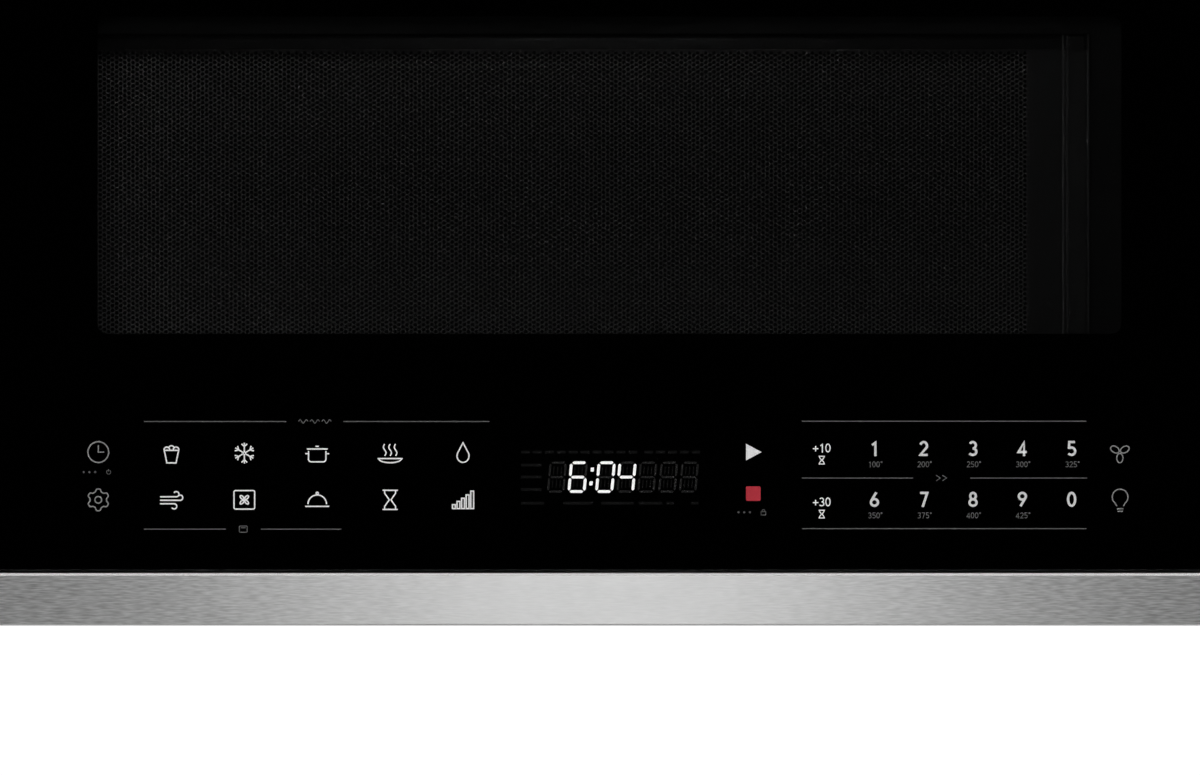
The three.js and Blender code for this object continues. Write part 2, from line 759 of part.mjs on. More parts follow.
// Controls behind the lower part of the glass: a touch foam at each side of the display, on one board
const boardX = [-232, 232];
const boardZ = [zPanBottom + carrierWall + 3, shelfZ - fit];
const yBoard = yGlassBack + 5;
const displayX = [-31, 39];
const displayZ = [45.5, 70.5];
const touchInset = 6;
const boardParts = [
  { x: -139, z: 68, width: 22, height: 16, depth: 4.4 }, // processor
  { x: 108, z: 52, width: 24, height: 24, depth: 3.4 }, // touch controller
  { x: 164, z: 52, width: 8, height: 16, depth: 4.9 }, // cable socket
];

function makeControlBoard() {
  const back = yBoard + boardThickness;
  const sheet = box(boardX, [yBoard, back], boardZ);
  const parts = boardParts.map(({ x, z, width: across, height: up, depth: out }) =>
    box(about(x, across), [back - 0.1, back + out], about(z, up)),
  );
  const sides = [
    [boardX[0] + touchInset, displayX[0] - touchInset],
    [displayX[1] + touchInset, boardX[1] - touchInset],
  ];
  const touch = sides.map((x) => box(x, [yGlassBack + fit, yBoard + 0.1], widen(boardZ, -touchInset)));
  return join(sheet, parts, touch);
}

function makeDisplayModule() {
  return box(displayX, [yGlassBack + fit, yBoard - fit], displayZ);
}

// ---------------------------------------------------------------- latch

const latchY = [yPan + doorSheet + 2.7, yPan + doorSheet + 11];
const leverZ = [hookZ[0] - 10, hookZ[1] + hookHeight + 4];
const springLength = 18;
const springZ = [leverZ[0] - springLength, leverZ[0] - fit];
const springRadius = 3.5;
const springWire = 0.7;
const springTurns = 7;

function latchGuide(z) {
  return box([latchX - latchHalf, latchX + latchHalf], [yPan + 0.5, latchY[0] - fit], z);
}

const neckFromTip = 8; // the hook's neck, and the flat under its barb, from its tip
const barbFromTip = 5;
const barbNose = 3;

function makeLatchLever() {
  const bar = box([latchX - latchHalf, latchX + latchHalf], latchY, leverZ);
  const hooks = hookZ.map((z) =>
    prism(
      'x',
      [
        [latchY[1] - 0.5, z],
        [hookTip - neckFromTip, z],
        [hookTip - neckFromTip, z - barbDrop],
        [hookTip - barbFromTip, z - barbDrop],
        [hookTip, z + barbNose],
        [hookTip, z + hookHeight],
        [latchY[1] - 0.5, z + hookHeight],
      ],
      latchX - latchHalf + 1,
      latchX + latchHalf - 1,
    ),
  );
  return join(bar, hooks);
}

// The wire of a coil as one closed tube of few-sided rings.
function makeLatchSpring() {
  const steps = 8;
  const sides = 5;
  const middle = [latchX, (latchY[0] + latchY[1]) / 2];
  const low = springZ[0] + springWire;
  const high = springZ[1] - springWire;
  const count = springTurns * steps + 1;
  const positions = [];
  const index = [];
  for (let i = 0; i < count; i += 1) {
    const turn = (2 * Math.PI * i) / steps;
    const z = low + ((high - low) * i) / (count - 1);
    for (let j = 0; j < sides; j += 1) {
      const ring = (2 * Math.PI * j) / sides;
      const radius = springRadius + springWire * Math.cos(ring);
      const [x, y] = [middle[0] + radius * Math.cos(turn), middle[1] + radius * Math.sin(turn)];
      positions.push(x, y, z + springWire * Math.sin(ring));
    }
  }
  for (let i = 0; i < count - 1; i += 1) {
    for (let j = 0; j < sides; j += 1) {
      const [a, b] = [i * sides + j, i * sides + ((j + 1) % sides)];
      index.push(a, a + sides, b, b, a + sides, b + sides);
    }
  }
  for (let j = 1; j < sides - 1; j += 1) {
    index.push(0, j, j + 1);
    const last = (count - 1) * sides;
    index.push(last, last + j + 1, last + j);
  }
  const geometry = new THREE.BufferGeometry();
  geometry.setAttribute('position', new THREE.BufferAttribute(new Float32Array(positions), 3));
  geometry.setIndex(index);
  return solid(geometry);
}

// Latch board behind the front frame's window, with a slot for each hook and a switch behind it.
const plungerTravel = 1.5;
const plungerRadius = 1.6;
const plungerHead = 1; // thickness of the head, which rests this far, and a little, off the switch
const switchDepth = 16;
const switchMargin = 6; // above and below the hook
const boardLap = 4; // over the frame's window at the sides
const boardFace = 2;
const boardSide = 3;
const yBoardFace = yFrame + cavitySheet;
const yPlunger = hookTip + fit;
const ySwitch = yPlunger + plungerHead + plungerTravel + 0.2;

function makeInterlockCradle() {
  const x = [latchX + latchHalf + latchPlay, latchX + latchHalf + latchPlay + boardSide];
  const z = widen([hookZ[0], hookZ[1] + hookHeight], boardMargin + 2);
  const faceY = [yBoardFace, yBoardFace + boardFace];
  const side = box(x, [yBoardFace + 1, ySwitch + switchDepth], z);
  const face = box(widen([latchX, latchX], boardWindow + boardLap), faceY, z);
  const slots = hookZ.map((low) => hookSlot(low, widen(faceY, 1)));
  const switches = hookZ.map((low) => {
    const body = [[latchX - latchHalf, x[0] + 0.1], [ySwitch, ySwitch + switchDepth]];
    return cut(
      box(...body, widen([low, low + hookHeight], switchMargin)),
      rod('y', [latchX, 0, low + hookHeight / 2], plungerRadius + fit, ySwitch - 1, ySwitch + 8, 12),
    );
  });
  return join(cut(face, slots), side, switches);
}

function makePlunger(low) {
  const axis = [latchX, 0, low + hookHeight / 2];
  const stem = rod('y', axis, plungerRadius, yPlunger, ySwitch + 5, 12);
  return join(stem, rod('y', axis, plungerRadius + 0.9, yPlunger, yPlunger + plungerHead, 12));
}

// ---------------------------------------------------------------- exhaust, blower and grille

const grilleWall = { end: 12, front: 3, edge: 1.4 };
const grilleSlot = { pitch: 20, width: 16, edge: 1.8, fromEnd: 20 };

function makeVentGrille() {
  const x = [xDoorLeft, xDoorRight];
  const y = [yGlass + 1, yFrame - fit];
  const z = [zGrille, zGrille + grilleHeight];
  const ductY = [y[0] + grilleWall.front, y[1] + 1];
  const duct = box(widen(x, -grilleWall.end), ductY, widen(z, -grilleWall.edge));
  const count = Math.floor((x[1] - x[0] - 2 * grilleSlot.fromEnd) / grilleSlot.pitch);
  const slots = spread(count, grilleSlot.pitch).map((middle) =>
    box(
      about(middle, grilleSlot.width),
      widen([y[0], y[0] + grilleWall.front], 1),
      widen(z, -grilleSlot.edge),
    ),
  );
  return cut(box(x, y, z), duct, slots);
}

const charcoal = { width: 300, depth: 100, height: 22, fromFront: 20, rim: 6 };
const charcoalCell = { count: 9, pitch: 32, width: 26, depth: 5 };

function makeCharcoalFilter() {
  const low = zCeiling + cavitySheet + fit;
  const z = [low, low + charcoal.height];
  const y = [yCavity + charcoal.fromFront, yCavity + charcoal.fromFront + charcoal.depth];
  const block = box(about(0, charcoal.width), y, z);
  const cells = spread(charcoalCell.count, charcoalCell.pitch).map((middle) =>
    box(about(middle, charcoalCell.width), widen(y, -charcoal.rim), [z[1] - charcoalCell.depth, z[1] + 1]),
  );
  return cut(block, cells);
}

const collarRim = { side: 7, front: 7, back: 5, sheet: 1.5 };

function makeDamperFrame() {
  const x = widen(xExhaust, -fit);
  const y = widen(yExhaust, -fit);
  const z = [height - collarHeight, height];
  const inside = box(widen(x, -collarWall), widen(y, -collarWall), widen(z, 1));
  const rim = box(
    widen(x, collarRim.side),
    [y[0] - collarRim.front, y[1] + collarRim.back],
    [zTopPanel - fit - collarRim.sheet, zTopPanel - fit],
  );
  return cut(join(box(x, y, z), rim), inside);
}

// A flap hinged along the collar's front edge; air lifts it and its weight closes it.
const flapSheet = 1.2;
const flapPinRadius = 1.6;
const yFlap = yExhaust[0] + fit + collarWall + 3;
const zFlap = height - collarHeight + 2.5;

function makeDamperFlap() {
  const x = widen(xExhaust, -fit - collarWall - fit);
  const sheet = box(x, [yFlap, yExhaust[1] - fit - collarWall - running], about(zFlap, flapSheet));
  const pin = rod('x', [0, yFlap, zFlap], flapPinRadius, ...x, 12);
  return join(sheet, pin);
}

// Double-inlet centrifugal blower: two wheels on one motor, in a trough that discharges upwards
const blowerLength = 290;
const blowerWall = 1.2;
const wheelRadius = 28;
const wheelLength = 84;
const motorRadius = 26;
const motorLength = 62;
const blowerAxis = [0, (yRearBay + yBackPanel) / 2, 150];
const troughRadius = 33.5;
const blowerLug = { pitch: 200, width: 16, lift: 48, sheet: 2 };

function makeBlowerHousing() {
  const [, y, z] = blowerAxis;
  const top = height - collarHeight - fit;
  const front = yExhaust[0] + fit;
  const ledge = zCeiling + cavitySheet + fit;
  // Round below, with a throat that steps forward over the cavity to meet the collar.
  const outline = (inset, rim) => {
    const radius = troughRadius - inset;
    const arc = Array.from({ length: 13 }, (_, i) => {
      const angle = Math.PI + (Math.PI * i) / 12;
      return [y + radius * Math.cos(angle), z + radius * Math.sin(angle)];
    });
    const throat = [[y + radius, rim], [front + inset, rim], [front + inset, ledge + inset]];
    return [...arc, ...throat, [y - radius, ledge + inset]];
  };
  const x = [-blowerLength / 2, blowerLength / 2];
  const shell = prism('x', outline(0, top), ...x);
  const core = prism('x', outline(blowerWall, top + 1), ...widen(x, -blowerWall));
  const inlets = x.map((c) => rod('x', [0, y, z], wheelRadius - 4, c - 3, c + 3, 20));
  const lugY = [y + troughRadius - blowerWall / 2, yBackPanel - fit];
  const lugZ = [z + blowerLug.lift, z + blowerLug.lift + blowerLug.sheet];
  const lugs = spread(2, blowerLug.pitch).map((middle) => box(about(middle, blowerLug.width), lugY, lugZ));
  return join(cut(shell, core, inlets), lugs);
}

const shaftRadius = 3;
const motorFoot = { length: 28, half: 8 }; // the foot stands on the trough's round floor

function makeBlowerMotor() {
  const [, y, z] = blowerAxis;
  const half = motorLength / 2;
  const footDrop = Math.sqrt((troughRadius - blowerWall) ** 2 - motorFoot.half ** 2);
  const can = rod('x', [0, y, z], motorRadius, -half, half, 16);
  const foot = box(
    about(0, motorFoot.length),
    widen([y, y], motorFoot.half),
    [z - footDrop + 2 * fit, z - motorRadius + 3],
  );
  const bore = rod('x', [0, y, z], shaftRadius + fit, -half - 1, half + 1, 16);
  return cut(join(can, foot), bore);
}

const bladeDepth = 5; // of the wheel's blades, from its rim
const wheelSheet = 2;

// Squirrel-cage wheel with its half of the shaft.
function makeBlowerWheel(side) {
  const [, y, z] = blowerAxis;
  const near = motorLength / 2 + 3;
  const far = near + wheelLength;
  const span = (a, b) => (side > 0 ? [a, b] : [-b, -a]);
  const hub = rod('x', [0, y, z], wheelRadius, ...span(near, near + wheelSheet), 20);
  const rim = cut(
    rod('x', [0, y, z], wheelRadius, ...span(far - wheelSheet, far), 20),
    rod('x', [0, y, z], wheelRadius - bladeDepth, ...span(far - wheelSheet - 1, far + 1), 20),
  );
  const blades = around('x', [0, y, z], 12, () =>
    box(span(near + 1, far - 1), [y + wheelRadius - bladeDepth, y + wheelRadius - 0.6], about(z, 1.4)),
  );
  const shaft = rod('x', [0, y, z], shaftRadius, ...span(1, near + 1), 16);
  const boss = rod('x', [0, y, z], shaftRadius + 4, ...span(near - 1, near + 12), 16);
  return join(hub, rim, blades, shaft, boss);
}

// ---------------------------------------------------------------- turntable

const zRoller = zFloor + fit + rollerRadius;
const zTray = zRoller + rollerRadius + fit; // underside of the tray
const earReach = 22; // the coupler's ears, from its axis
const earWidth = 6;
const pocketDepth = 2.5; // the ears' pocket in the tray's underside

const tableMotor = { radius: 25, height: 20, ears: 68, earWidth: 10, earSheet: 2, bore: 12 };

function makeTurntableMotor() {
  const top = zFloor - cavitySheet - fit;
  const can = rod('z', [...turntable, 0], tableMotor.radius, top - tableMotor.height, top, 24);
  const ears = box(
    about(turntable[0], tableMotor.ears),
    about(turntable[1], tableMotor.earWidth),
    [top - tableMotor.earSheet, top],
  );
  const bore = rod('z', [...turntable, 0], motorShaftRadius + fit, top - tableMotor.bore, top + 1, 16);
  return cut(join(can, ears), bore);
}

function makeCoupler() {
  const base = [zFloor + running, zTray - fit];
  const hub = rod('z', [...turntable, 0], couplerRadius, ...base, 24);
  const shaftEnd = zFloor - cavitySheet - tableMotor.bore + 1;
  const shaft = rod('z', [...turntable, 0], motorShaftRadius, shaftEnd, base[0] + 1, 16);
  const ears = around('z', [...turntable, 0], 3, () =>
    box(
      [turntable[0] + couplerRadius - 3, turntable[0] + earReach],
      about(turntable[1], earWidth),
      [zTray - 4, zTray + pocketDepth - fit],
    ),
  );
  return join(hub, shaft, ears);
}

function makeTray() {
  const profile = [
    [0, zTray],
    [trayRadius - 12, zTray],
    [trayRadius - 2, zTray + trayRim - trayThickness + 1],
    [trayRadius, zTray + trayRim],
    [trayRadius - 4, zTray + trayRim],
    [trayRadius - 13, zTray + trayThickness],
    [0, zTray + trayThickness],
  ];
  const pockets = around('z', [...turntable, 0], 3, () =>
    box(
      [turntable[0] - 1, turntable[0] + earReach + running],
      about(turntable[1], earWidth + 2 * running),
      [zTray - 1, zTray + pocketDepth],
    ),
  );
  return cut(turned(profile, turntable, 56), pockets);
}

const ringWidth = 6;
const ringThickness = 4;
const ringOuter = rollerTrack - rollerWidth / 2 - 1.5;
const ringHub = { bore: earReach + 5, wall: 4 }; // round the coupler's ears
const axleCap = { radius: axleRadius + 1.4, thickness: 1.4, gap: 0.6 };

function makeRollerRing() {
  const z = about(zRoller, ringThickness);
  const centre = [...turntable, 0];
  const loop = cut(
    rod('z', centre, ringOuter, ...z, 36),
    rod('z', centre, ringOuter - ringWidth, ...widen(z, 1), 36),
  );
  const hub = cut(
    rod('z', centre, ringHub.bore + ringHub.wall, ...z, 20),
    rod('z', centre, ringHub.bore, ...widen(z, 1), 20),
  );
  const axis = [0, turntable[1], zRoller];
  const capStart = turntable[0] + rollerTrack + rollerWidth / 2 + axleCap.gap;
  const capEnd = capStart + axleCap.thickness;
  const arms = around('z', centre, 3, () =>
    join(
      box([turntable[0] + ringHub.bore + 2, turntable[0] + ringOuter - 2], about(turntable[1], ringWidth), z),
      rod('x', axis, axleRadius, turntable[0] + ringOuter - 3, capEnd, 12),
      rod('x', axis, axleCap.radius, capStart, capEnd, 12),
    ),
  );
  return join(loop, hub, arms);
}

function makeRoller(index) {
  const x = about(turntable[0] + rollerTrack, rollerWidth);
  const axis = [0, turntable[1], zRoller];
  return around('z', [...turntable, 0], 3, () =>
    cut(rod('x', axis, rollerRadius, ...x, 24), rod('x', axis, axleRadius + fit, ...widen(x, 1), 12)),
  )[index];
}

// ---------------------------------------------------------------- microwave source and cooling

function makeWaveguide() {
  const x = [xBayRight + fit, xBayRight + fit + waveguide.depth];
  const duct = box(
    [x[0] - 1, x[1] - waveguide.wall],
    widen(waveguide.y, -waveguide.wall),
    widen(waveguide.z, -waveguide.wall),
  );
  return cut(box(x, waveguide.y, waveguide.z), duct);
}

const micaThickness = 0.8;
const micaLap = 8; // over the feed opening

function makeWaveguideCover() {
  const inset = feedInset - micaLap;
  return box(
    [xCavityRight - fit - micaThickness, xCavityRight - fit],
    widen(waveguide.y, -inset),
    widen(waveguide.z, -inset),
  );
}

// Magnetron: a flange on the waveguide, an anode in cooling fins and a yoke, and a filter box behind
const magnetron = { length: 62, width: 76, height: 72, flange: 3, yoke: 1.6, anode: 20 };
const magnetronFins = { count: 6, first: 9, pitch: 6.5, sheet: 1, inset: 4 };
const magnetronBox = { depth: 10, width: 52, height: 44 };

function makeMagnetron() {
  const x0 = xBayRight + fit + waveguide.depth + fit;
  const x1 = x0 + magnetron.length;
  const yc = (waveguide.y[0] + waveguide.y[1]) / 2;
  const zc = (waveguide.z[0] + waveguide.z[1]) / 2;
  const y = about(yc, magnetron.width);
  const z = about(zc, magnetron.height);
  const yokeX = [x0 + 2, x1 - magnetronBox.depth];
  const yokeZ = widen(z, -6);
  const fins = Array.from({ length: magnetronFins.count }, (_, i) => {
    const x = x0 + magnetronFins.first + i * magnetronFins.pitch;
    return box([x, x + magnetronFins.sheet], widen(y, -magnetronFins.inset), widen(z, -magnetronFins.inset));
  });
  return join(
    box([x0, x0 + magnetron.flange], y, z),
    fins,
    rod('x', [0, yc, zc], magnetron.anode, x0 + 2, x1 - 8, 12),
    box(yokeX, [y[0], y[0] + magnetron.yoke], yokeZ),
    box(yokeX, [y[1] - magnetron.yoke, y[1]], yokeZ),
    box([yokeX[1] - 1, yokeX[1] + 1], y, yokeZ),
    box([x1 - magnetronBox.depth, x1], about(yc, magnetronBox.width), about(zc, magnetronBox.height)),
  );
}

// Axial fan that cools the magnetron and its supply
const fanRadius = 38;
const fanFrame = 92;
const fanDepth = 26;
const fanAxle = 2.6;
const fanHub = 14;
const fanClearance = 2.5;
const fanStrut = { width: 4, depth: 3, boss: 6.5 };
const fanBlade = { sheet: 2, chord: 18, lean: 32 };
const fanCentre = [xBayRight + fit + fanFrame / 2, yTurntable - 40, zCeiling - 55];

function makeFanShroud() {
  const [x, y, z] = fanCentre;
  const front = y - fanDepth / 2;
  const block = box(about(x, fanFrame), about(y, fanDepth), about(z, fanFrame));
  const bore = rod('y', [x, 0, z], fanRadius + fanClearance, y - fanDepth, y + fanDepth, 32);
  const hub = rod('y', [x, 0, z], fanHub, front, front + fanStrut.boss, 16);
  const struts = around('y', fanCentre, 4, () =>
    box([x + 12, x + fanRadius + 4], [front, front + fanStrut.depth], about(z, fanStrut.width)),
  );
  const axleBore = rod('y', [x, 0, z], fanAxle + fit, y - fanDepth, y, 12);
  return cut(join(cut(block, bore), hub, struts), axleBore);
}

function makeFanWheel() {
  const [x, y, z] = fanCentre;
  const front = y - fanDepth / 2;
  const hub = rod('y', [x, 0, z], fanHub, front + fanStrut.boss + 2.5, y + fanDepth / 2 - 2, 16);
  const axle = rod('y', [x, 0, z], fanAxle, front + 2, front + fanStrut.boss + 3.5, 12);
  const blades = around('y', fanCentre, 7, () =>
    box([x + 10, x + fanRadius], about(y, fanBlade.sheet), about(z, fanBlade.chord))
      .translate([-x, -y, -z])
      .rotate([fanBlade.lean, 0, 0])
      .translate([x, y, z]),
  );
  return join(hub, axle, blades);
}

// Inverter supply: a board on feet with its transformer, heat sink and capacitor
const inverter = { x: xBayRight + 12, y: yCavity + 20, width: 138, depth: 120 };
const inverterFoot = { radius: 4, inset: 6, height: 8 };
const transformer = { x: 38, y: 46, width: 48, depth: 52, height: 39, winding: 22, crown: 6 };
const inverterSink = { x: 76, y: 16, width: 56, depth: 80, base: 5, fins: 6, pitch: 10, fin: 2, height: 33 };
const capacitor = { x: 30, y: 102, radius: 12, height: 35 };

function makeInverter() {
  const x = [inverter.x, inverter.x + inverter.width];
  const y = [inverter.y, inverter.y + inverter.depth];
  const low = caseSheet + fit;
  const under = low + inverterFoot.height;
  const top = under + boardThickness;
  const seat = top - 0.6; // what stands on the board starts inside it
  const feet = widen(x, -inverterFoot.inset).flatMap((u) =>
    widen(y, -inverterFoot.inset).map((v) => rod('z', [u, v, 0], inverterFoot.radius, low, under + 1, 12)),
  );
  const core = [x[0] + transformer.x, y[0] + transformer.y];
  const coreTop = seat + transformer.height;
  const sinkX = [x[0] + inverterSink.x, x[0] + inverterSink.x + inverterSink.width];
  const sinkY = [y[0] + inverterSink.y, y[0] + inverterSink.y + inverterSink.depth];
  const finZ = [seat + inverterSink.base - 1, seat + inverterSink.height];
  const fins = Array.from({ length: inverterSink.fins }, (_, i) => {
    const edge = sinkX[0] + 2 + i * inverterSink.pitch;
    return box([edge, edge + inverterSink.fin], sinkY, finZ);
  });
  const can = [x[0] + capacitor.x, y[0] + capacitor.y, 0];
  return join(
    box(x, y, [under, top]),
    feet,
    box(about(core[0], transformer.width), about(core[1], transformer.depth), [seat, coreTop]),
    rod('z', [...core, 0], transformer.winding, coreTop - 1, coreTop + transformer.crown, 20),
    fins,
    box(sinkX, sinkY, [seat, seat + inverterSink.base]),
    rod('z', can, capacitor.radius, seat, seat + capacitor.height, 20),
  );
}

const ovenLamp = { shade: 40, depth: 24, wall: 2, socket: 11, socketEnd: 38, bulb: 8, bulbFrom: 6 };

function makeOvenLamp() {
  const [y, z] = ovenLampPlace;
  const x = xBayRight + fit;
  const inside = ovenLamp.shade - 2 * ovenLamp.wall;
  const back = x + ovenLamp.depth;
  const shade = cut(
    box([x, back], about(y, ovenLamp.shade), about(z, ovenLamp.shade)),
    box([x - 1, back - ovenLamp.wall], about(y, inside), about(z, inside)),
  );
  const socket = rod('x', [0, y, z], ovenLamp.socket, back - 3, x + ovenLamp.socketEnd, 16);
  const bulb = rod('x', [0, y, z], ovenLamp.bulb, x + ovenLamp.bulbFrom, back - 1, 16);
  return join(shade, socket, bulb);
}

// ---------------------------------------------------------------- convection module

const convectionSheet = 1.2;
const convectionShaft = 3;
const convectionBore = 5;
const wheel = { radius: 48, lift: 6, sheet: 1.5, boss: 13 };
const wheelBlade = { count: 9, from: 12, depth: 16.5, sheet: 1.6 };
const heater = { radius: 60, tube: 3.4, fromWall: 11, tail: 3, tailSpread: 24 };
const convectionMotor = { radius: 28, length: 22, bore: 10 };

const xHousingFront = xCavityLeft - cavitySheet - fit;
const xHousingBack = xHousingFront - convectionDepth;

function makeConvectionHousing() {
  const [y, z] = convectionCentre;
  const side = 2 * convectionBox;
  const shell = box([xHousingBack, xHousingFront], about(y, side), about(z, side));
  const inner = [xHousingBack + convectionSheet, xHousingFront + 1];
  const hollow = rod('x', [0, y, z], convectionBox - 2, ...inner, 40);
  const bore = rod('x', [0, y, z], convectionBore, xHousingBack - 1, xHousingBack + 3, 16);
  return cut(shell, hollow, bore);
}

function makeConvectionHeater() {
  const [y, z] = convectionCentre;
  const x = xHousingFront - heater.fromWall;
  const ring = new THREE.TorusGeometry(heater.radius, heater.tube, 6, 32);
  along(ring, 'x');
  ring.translate(x, y, z);
  const tails = about(0, heater.tailSpread).map((off) => {
    const place = [0, y + off, z - Math.sqrt(heater.radius ** 2 - off ** 2)];
    return rod('x', place, heater.tail, xHousingBack + convectionSheet + fit, x + 1, 8);
  });
  return join(solid(ring), tails);
}

function makeConvectionWheel() {
  const [y, z] = convectionCentre;
  const face = xHousingBack + wheel.lift;
  const front = face + wheel.sheet;
  const disc = rod('x', [0, y, z], wheel.radius, face, front, 32);
  const shaft = rod('x', [0, y, z], convectionShaft, xHousingBack - 6, front + wheelBlade.depth + 2, 16);
  const blades = around('x', [0, y, z], wheelBlade.count, () =>
    box(
      [front - 0.5, front + wheelBlade.depth],
      [y + wheelBlade.from, y + wheel.radius - 1],
      about(z, wheelBlade.sheet),
    ),
  );
  const boss = rod('x', [0, y, z], wheel.boss, front - 0.5, front + 4.5, 20);
  return join(disc, shaft, blades, boss);
}

function makeConvectionMotor() {
  const [y, z] = convectionCentre;
  const face = xHousingBack - fit;
  const can = rod('x', [0, y, z], convectionMotor.radius, face - convectionMotor.length, face, 24);
  const bore = rod('x', [0, y, z], convectionShaft + fit, face - convectionMotor.bore, face + 1, 16);
  return cut(can, bore);
}

// ---------------------------------------------------------------- cord outlet

function makeCordGrommet() {
  const z = [zTopPanel - fit - grommetFlange, height];
  const axis = [...cordExit, 0];
  const neck = rod('z', axis, cordHole - fit, ...z, 24);
  const lower = rod('z', axis, cordHole + grommetFlange, z[0], zTopPanel - fit, 24);
  return cut(join(neck, lower), rod('z', axis, grommetBore, ...widen(z, 1), 24));
}

// ---------------------------------------------------------------- assembly

add('side_panel_left', makeSidePanel('left'), 'blackPaint');
add('side_panel_right', makeSidePanel('right'), 'blackPaint');
add('top_panel', makeTopPanel(), 'galvanised');
add('back_panel', makeBackPanel(), 'galvanised');
add('base_pan', makeBasePan(), 'stainless');
add('wall_plate', makeWallPlate(), 'galvanised');
add('front_frame', makeFrontFrame(), 'enamel');
add('hinge_upper', makeHinge('upper'), 'darkSteel');
add('hinge_lower', makeHinge('lower'), 'darkSteel');

add('cavity_floor', makeCavityFloor(), 'enamel');
add('cavity_ceiling', makeCavityCeiling(), 'enamel');
add('cavity_left_wall', makeLeftWall(), 'enamel');
add('cavity_right_wall', makeRightWall(), 'enamel');
add('cavity_rear_wall', makeRearWall(), 'enamel');

add('grease_filter_left', makeGreaseFilter(xFilters[0]), 'aluminium');
add('grease_filter_right', makeGreaseFilter(xFilters[1]), 'aluminium');
add('lamp_cover', makeLampCover(), 'clearGlass');
add('cooktop_lamp', makeCooktopLamp(), 'board');

add('door_glass', makeDoorGlass(), 'blackGlass');
add('door_trim', makeDoorTrim(), 'stainless');
add('glass_carrier', makeGlassCarrier(), 'blackPlastic');
add('door_frame', makeDoorPan(), 'screenPaint');
add('door_screen', makeDoorScreen(), 'screenPaint');
add('choke_ring', makeChokeRing(), 'galvanised');
add('choke_cover', makeChokeCover(), 'blackPlastic');
add('inner_window', makeInnerWindow(), 'clearGlass');
add('control_board', makeControlBoard(), 'board');
add('display_module', makeDisplayModule(), 'blackGlass');
add('latch_lever', makeLatchLever(), 'whitePlastic');
add('latch_spring', makeLatchSpring(), 'darkSteel');
add('interlock_cradle', makeInterlockCradle(), 'whitePlastic');
add('lower_switch_plunger', makePlunger(hookZ[0]), 'rubber');
add('upper_switch_plunger', makePlunger(hookZ[1]), 'rubber');

add('vent_grille', makeVentGrille(), 'blackPlastic');
add('charcoal_filter', makeCharcoalFilter(), 'carbon');
add('damper_frame', makeDamperFrame(), 'galvanised');
add('damper_flap', makeDamperFlap(), 'aluminium');
add('blower_housing', makeBlowerHousing(), 'galvanised');
add('blower_motor', makeBlowerMotor(), 'darkSteel');
add('blower_wheel_left', makeBlowerWheel(-1), 'blackPlastic');
add('blower_wheel_right', makeBlowerWheel(1), 'blackPlastic');

add('turntable_motor', makeTurntableMotor(), 'galvanised');
add('turntable_coupler', makeCoupler(), 'whitePlastic');
add('turntable_tray', makeTray(), 'clearGlass');
add('roller_ring', makeRollerRing(), 'whitePlastic');
for (const index of [0, 1, 2]) add(`roller_wheel_${index + 1}`, makeRoller(index), 'whitePlastic');

add('waveguide', makeWaveguide(), 'galvanised');
add('waveguide_cover', makeWaveguideCover(), 'mica');
add('magnetron', makeMagnetron(), 'aluminium');
add('cooling_fan_shroud', makeFanShroud(), 'blackPlastic');
add('cooling_fan_wheel', makeFanWheel(), 'blackPlastic');
add('inverter_supply', makeInverter(), 'board');
add('oven_lamp', makeOvenLamp(), 'galvanised');
add('convection_housing', makeConvectionHousing(), 'galvanised');
add('convection_heater', makeConvectionHeater(), 'darkSteel');
add('convection_fan_wheel', makeConvectionWheel(), 'galvanised');
add('convection_motor', makeConvectionMotor(), 'darkSteel');
add('cord_grommet', makeCordGrommet(), 'rubber');

export default group;
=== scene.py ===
# The looks of a low-profile over the range microwave oven: the finish of every sheet, moulding and glass,
# the print and the display behind the door glass, the perforated screen and the small hardware.
# Sizes are in millimetres until a mesh is made. +X is to the right, +Y towards the wall, +Z up.

import json
import math

import bpy
from mathutils import Matrix, Vector


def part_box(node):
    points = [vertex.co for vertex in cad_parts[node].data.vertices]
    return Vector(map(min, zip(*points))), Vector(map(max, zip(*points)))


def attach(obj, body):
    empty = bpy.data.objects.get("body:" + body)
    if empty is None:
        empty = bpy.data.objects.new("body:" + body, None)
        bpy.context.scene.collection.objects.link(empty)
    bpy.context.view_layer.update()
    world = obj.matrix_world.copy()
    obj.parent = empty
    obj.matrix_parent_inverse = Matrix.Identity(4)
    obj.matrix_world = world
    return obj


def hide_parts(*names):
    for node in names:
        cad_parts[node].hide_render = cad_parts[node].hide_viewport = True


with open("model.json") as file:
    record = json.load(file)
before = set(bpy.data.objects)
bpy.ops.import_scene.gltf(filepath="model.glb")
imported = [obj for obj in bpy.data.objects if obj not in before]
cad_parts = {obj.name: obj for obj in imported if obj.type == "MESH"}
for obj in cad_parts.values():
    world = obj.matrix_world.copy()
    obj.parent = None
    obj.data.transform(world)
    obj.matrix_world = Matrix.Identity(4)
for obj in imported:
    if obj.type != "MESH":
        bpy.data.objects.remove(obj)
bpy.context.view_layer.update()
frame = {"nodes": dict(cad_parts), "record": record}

MM = 0.001
TURN = 2 * math.pi


def extent(node):
    """A node's box at rest in millimetres, as ((x0, x1), (y0, y1), (z0, z1))."""
    low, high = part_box(node)
    return tuple((a / MM, b / MM) for a, b in zip(low, high))


def grey(value):
    return (value, value, value)


def add_object(name, data):
    made = bpy.data.objects.new(name, data)
    bpy.context.scene.collection.objects.link(made)
    return made


# -------- shader nodes

SOCKETS = {"value": "NodeSocketFloat", "vector": "NodeSocketVector"}
SURFACE = {"Roughness": "value", "Normal": "vector", "Shade": "value"}  # what a surface effect gives


def is_output(value):
    return isinstance(value, bpy.types.NodeSocket)


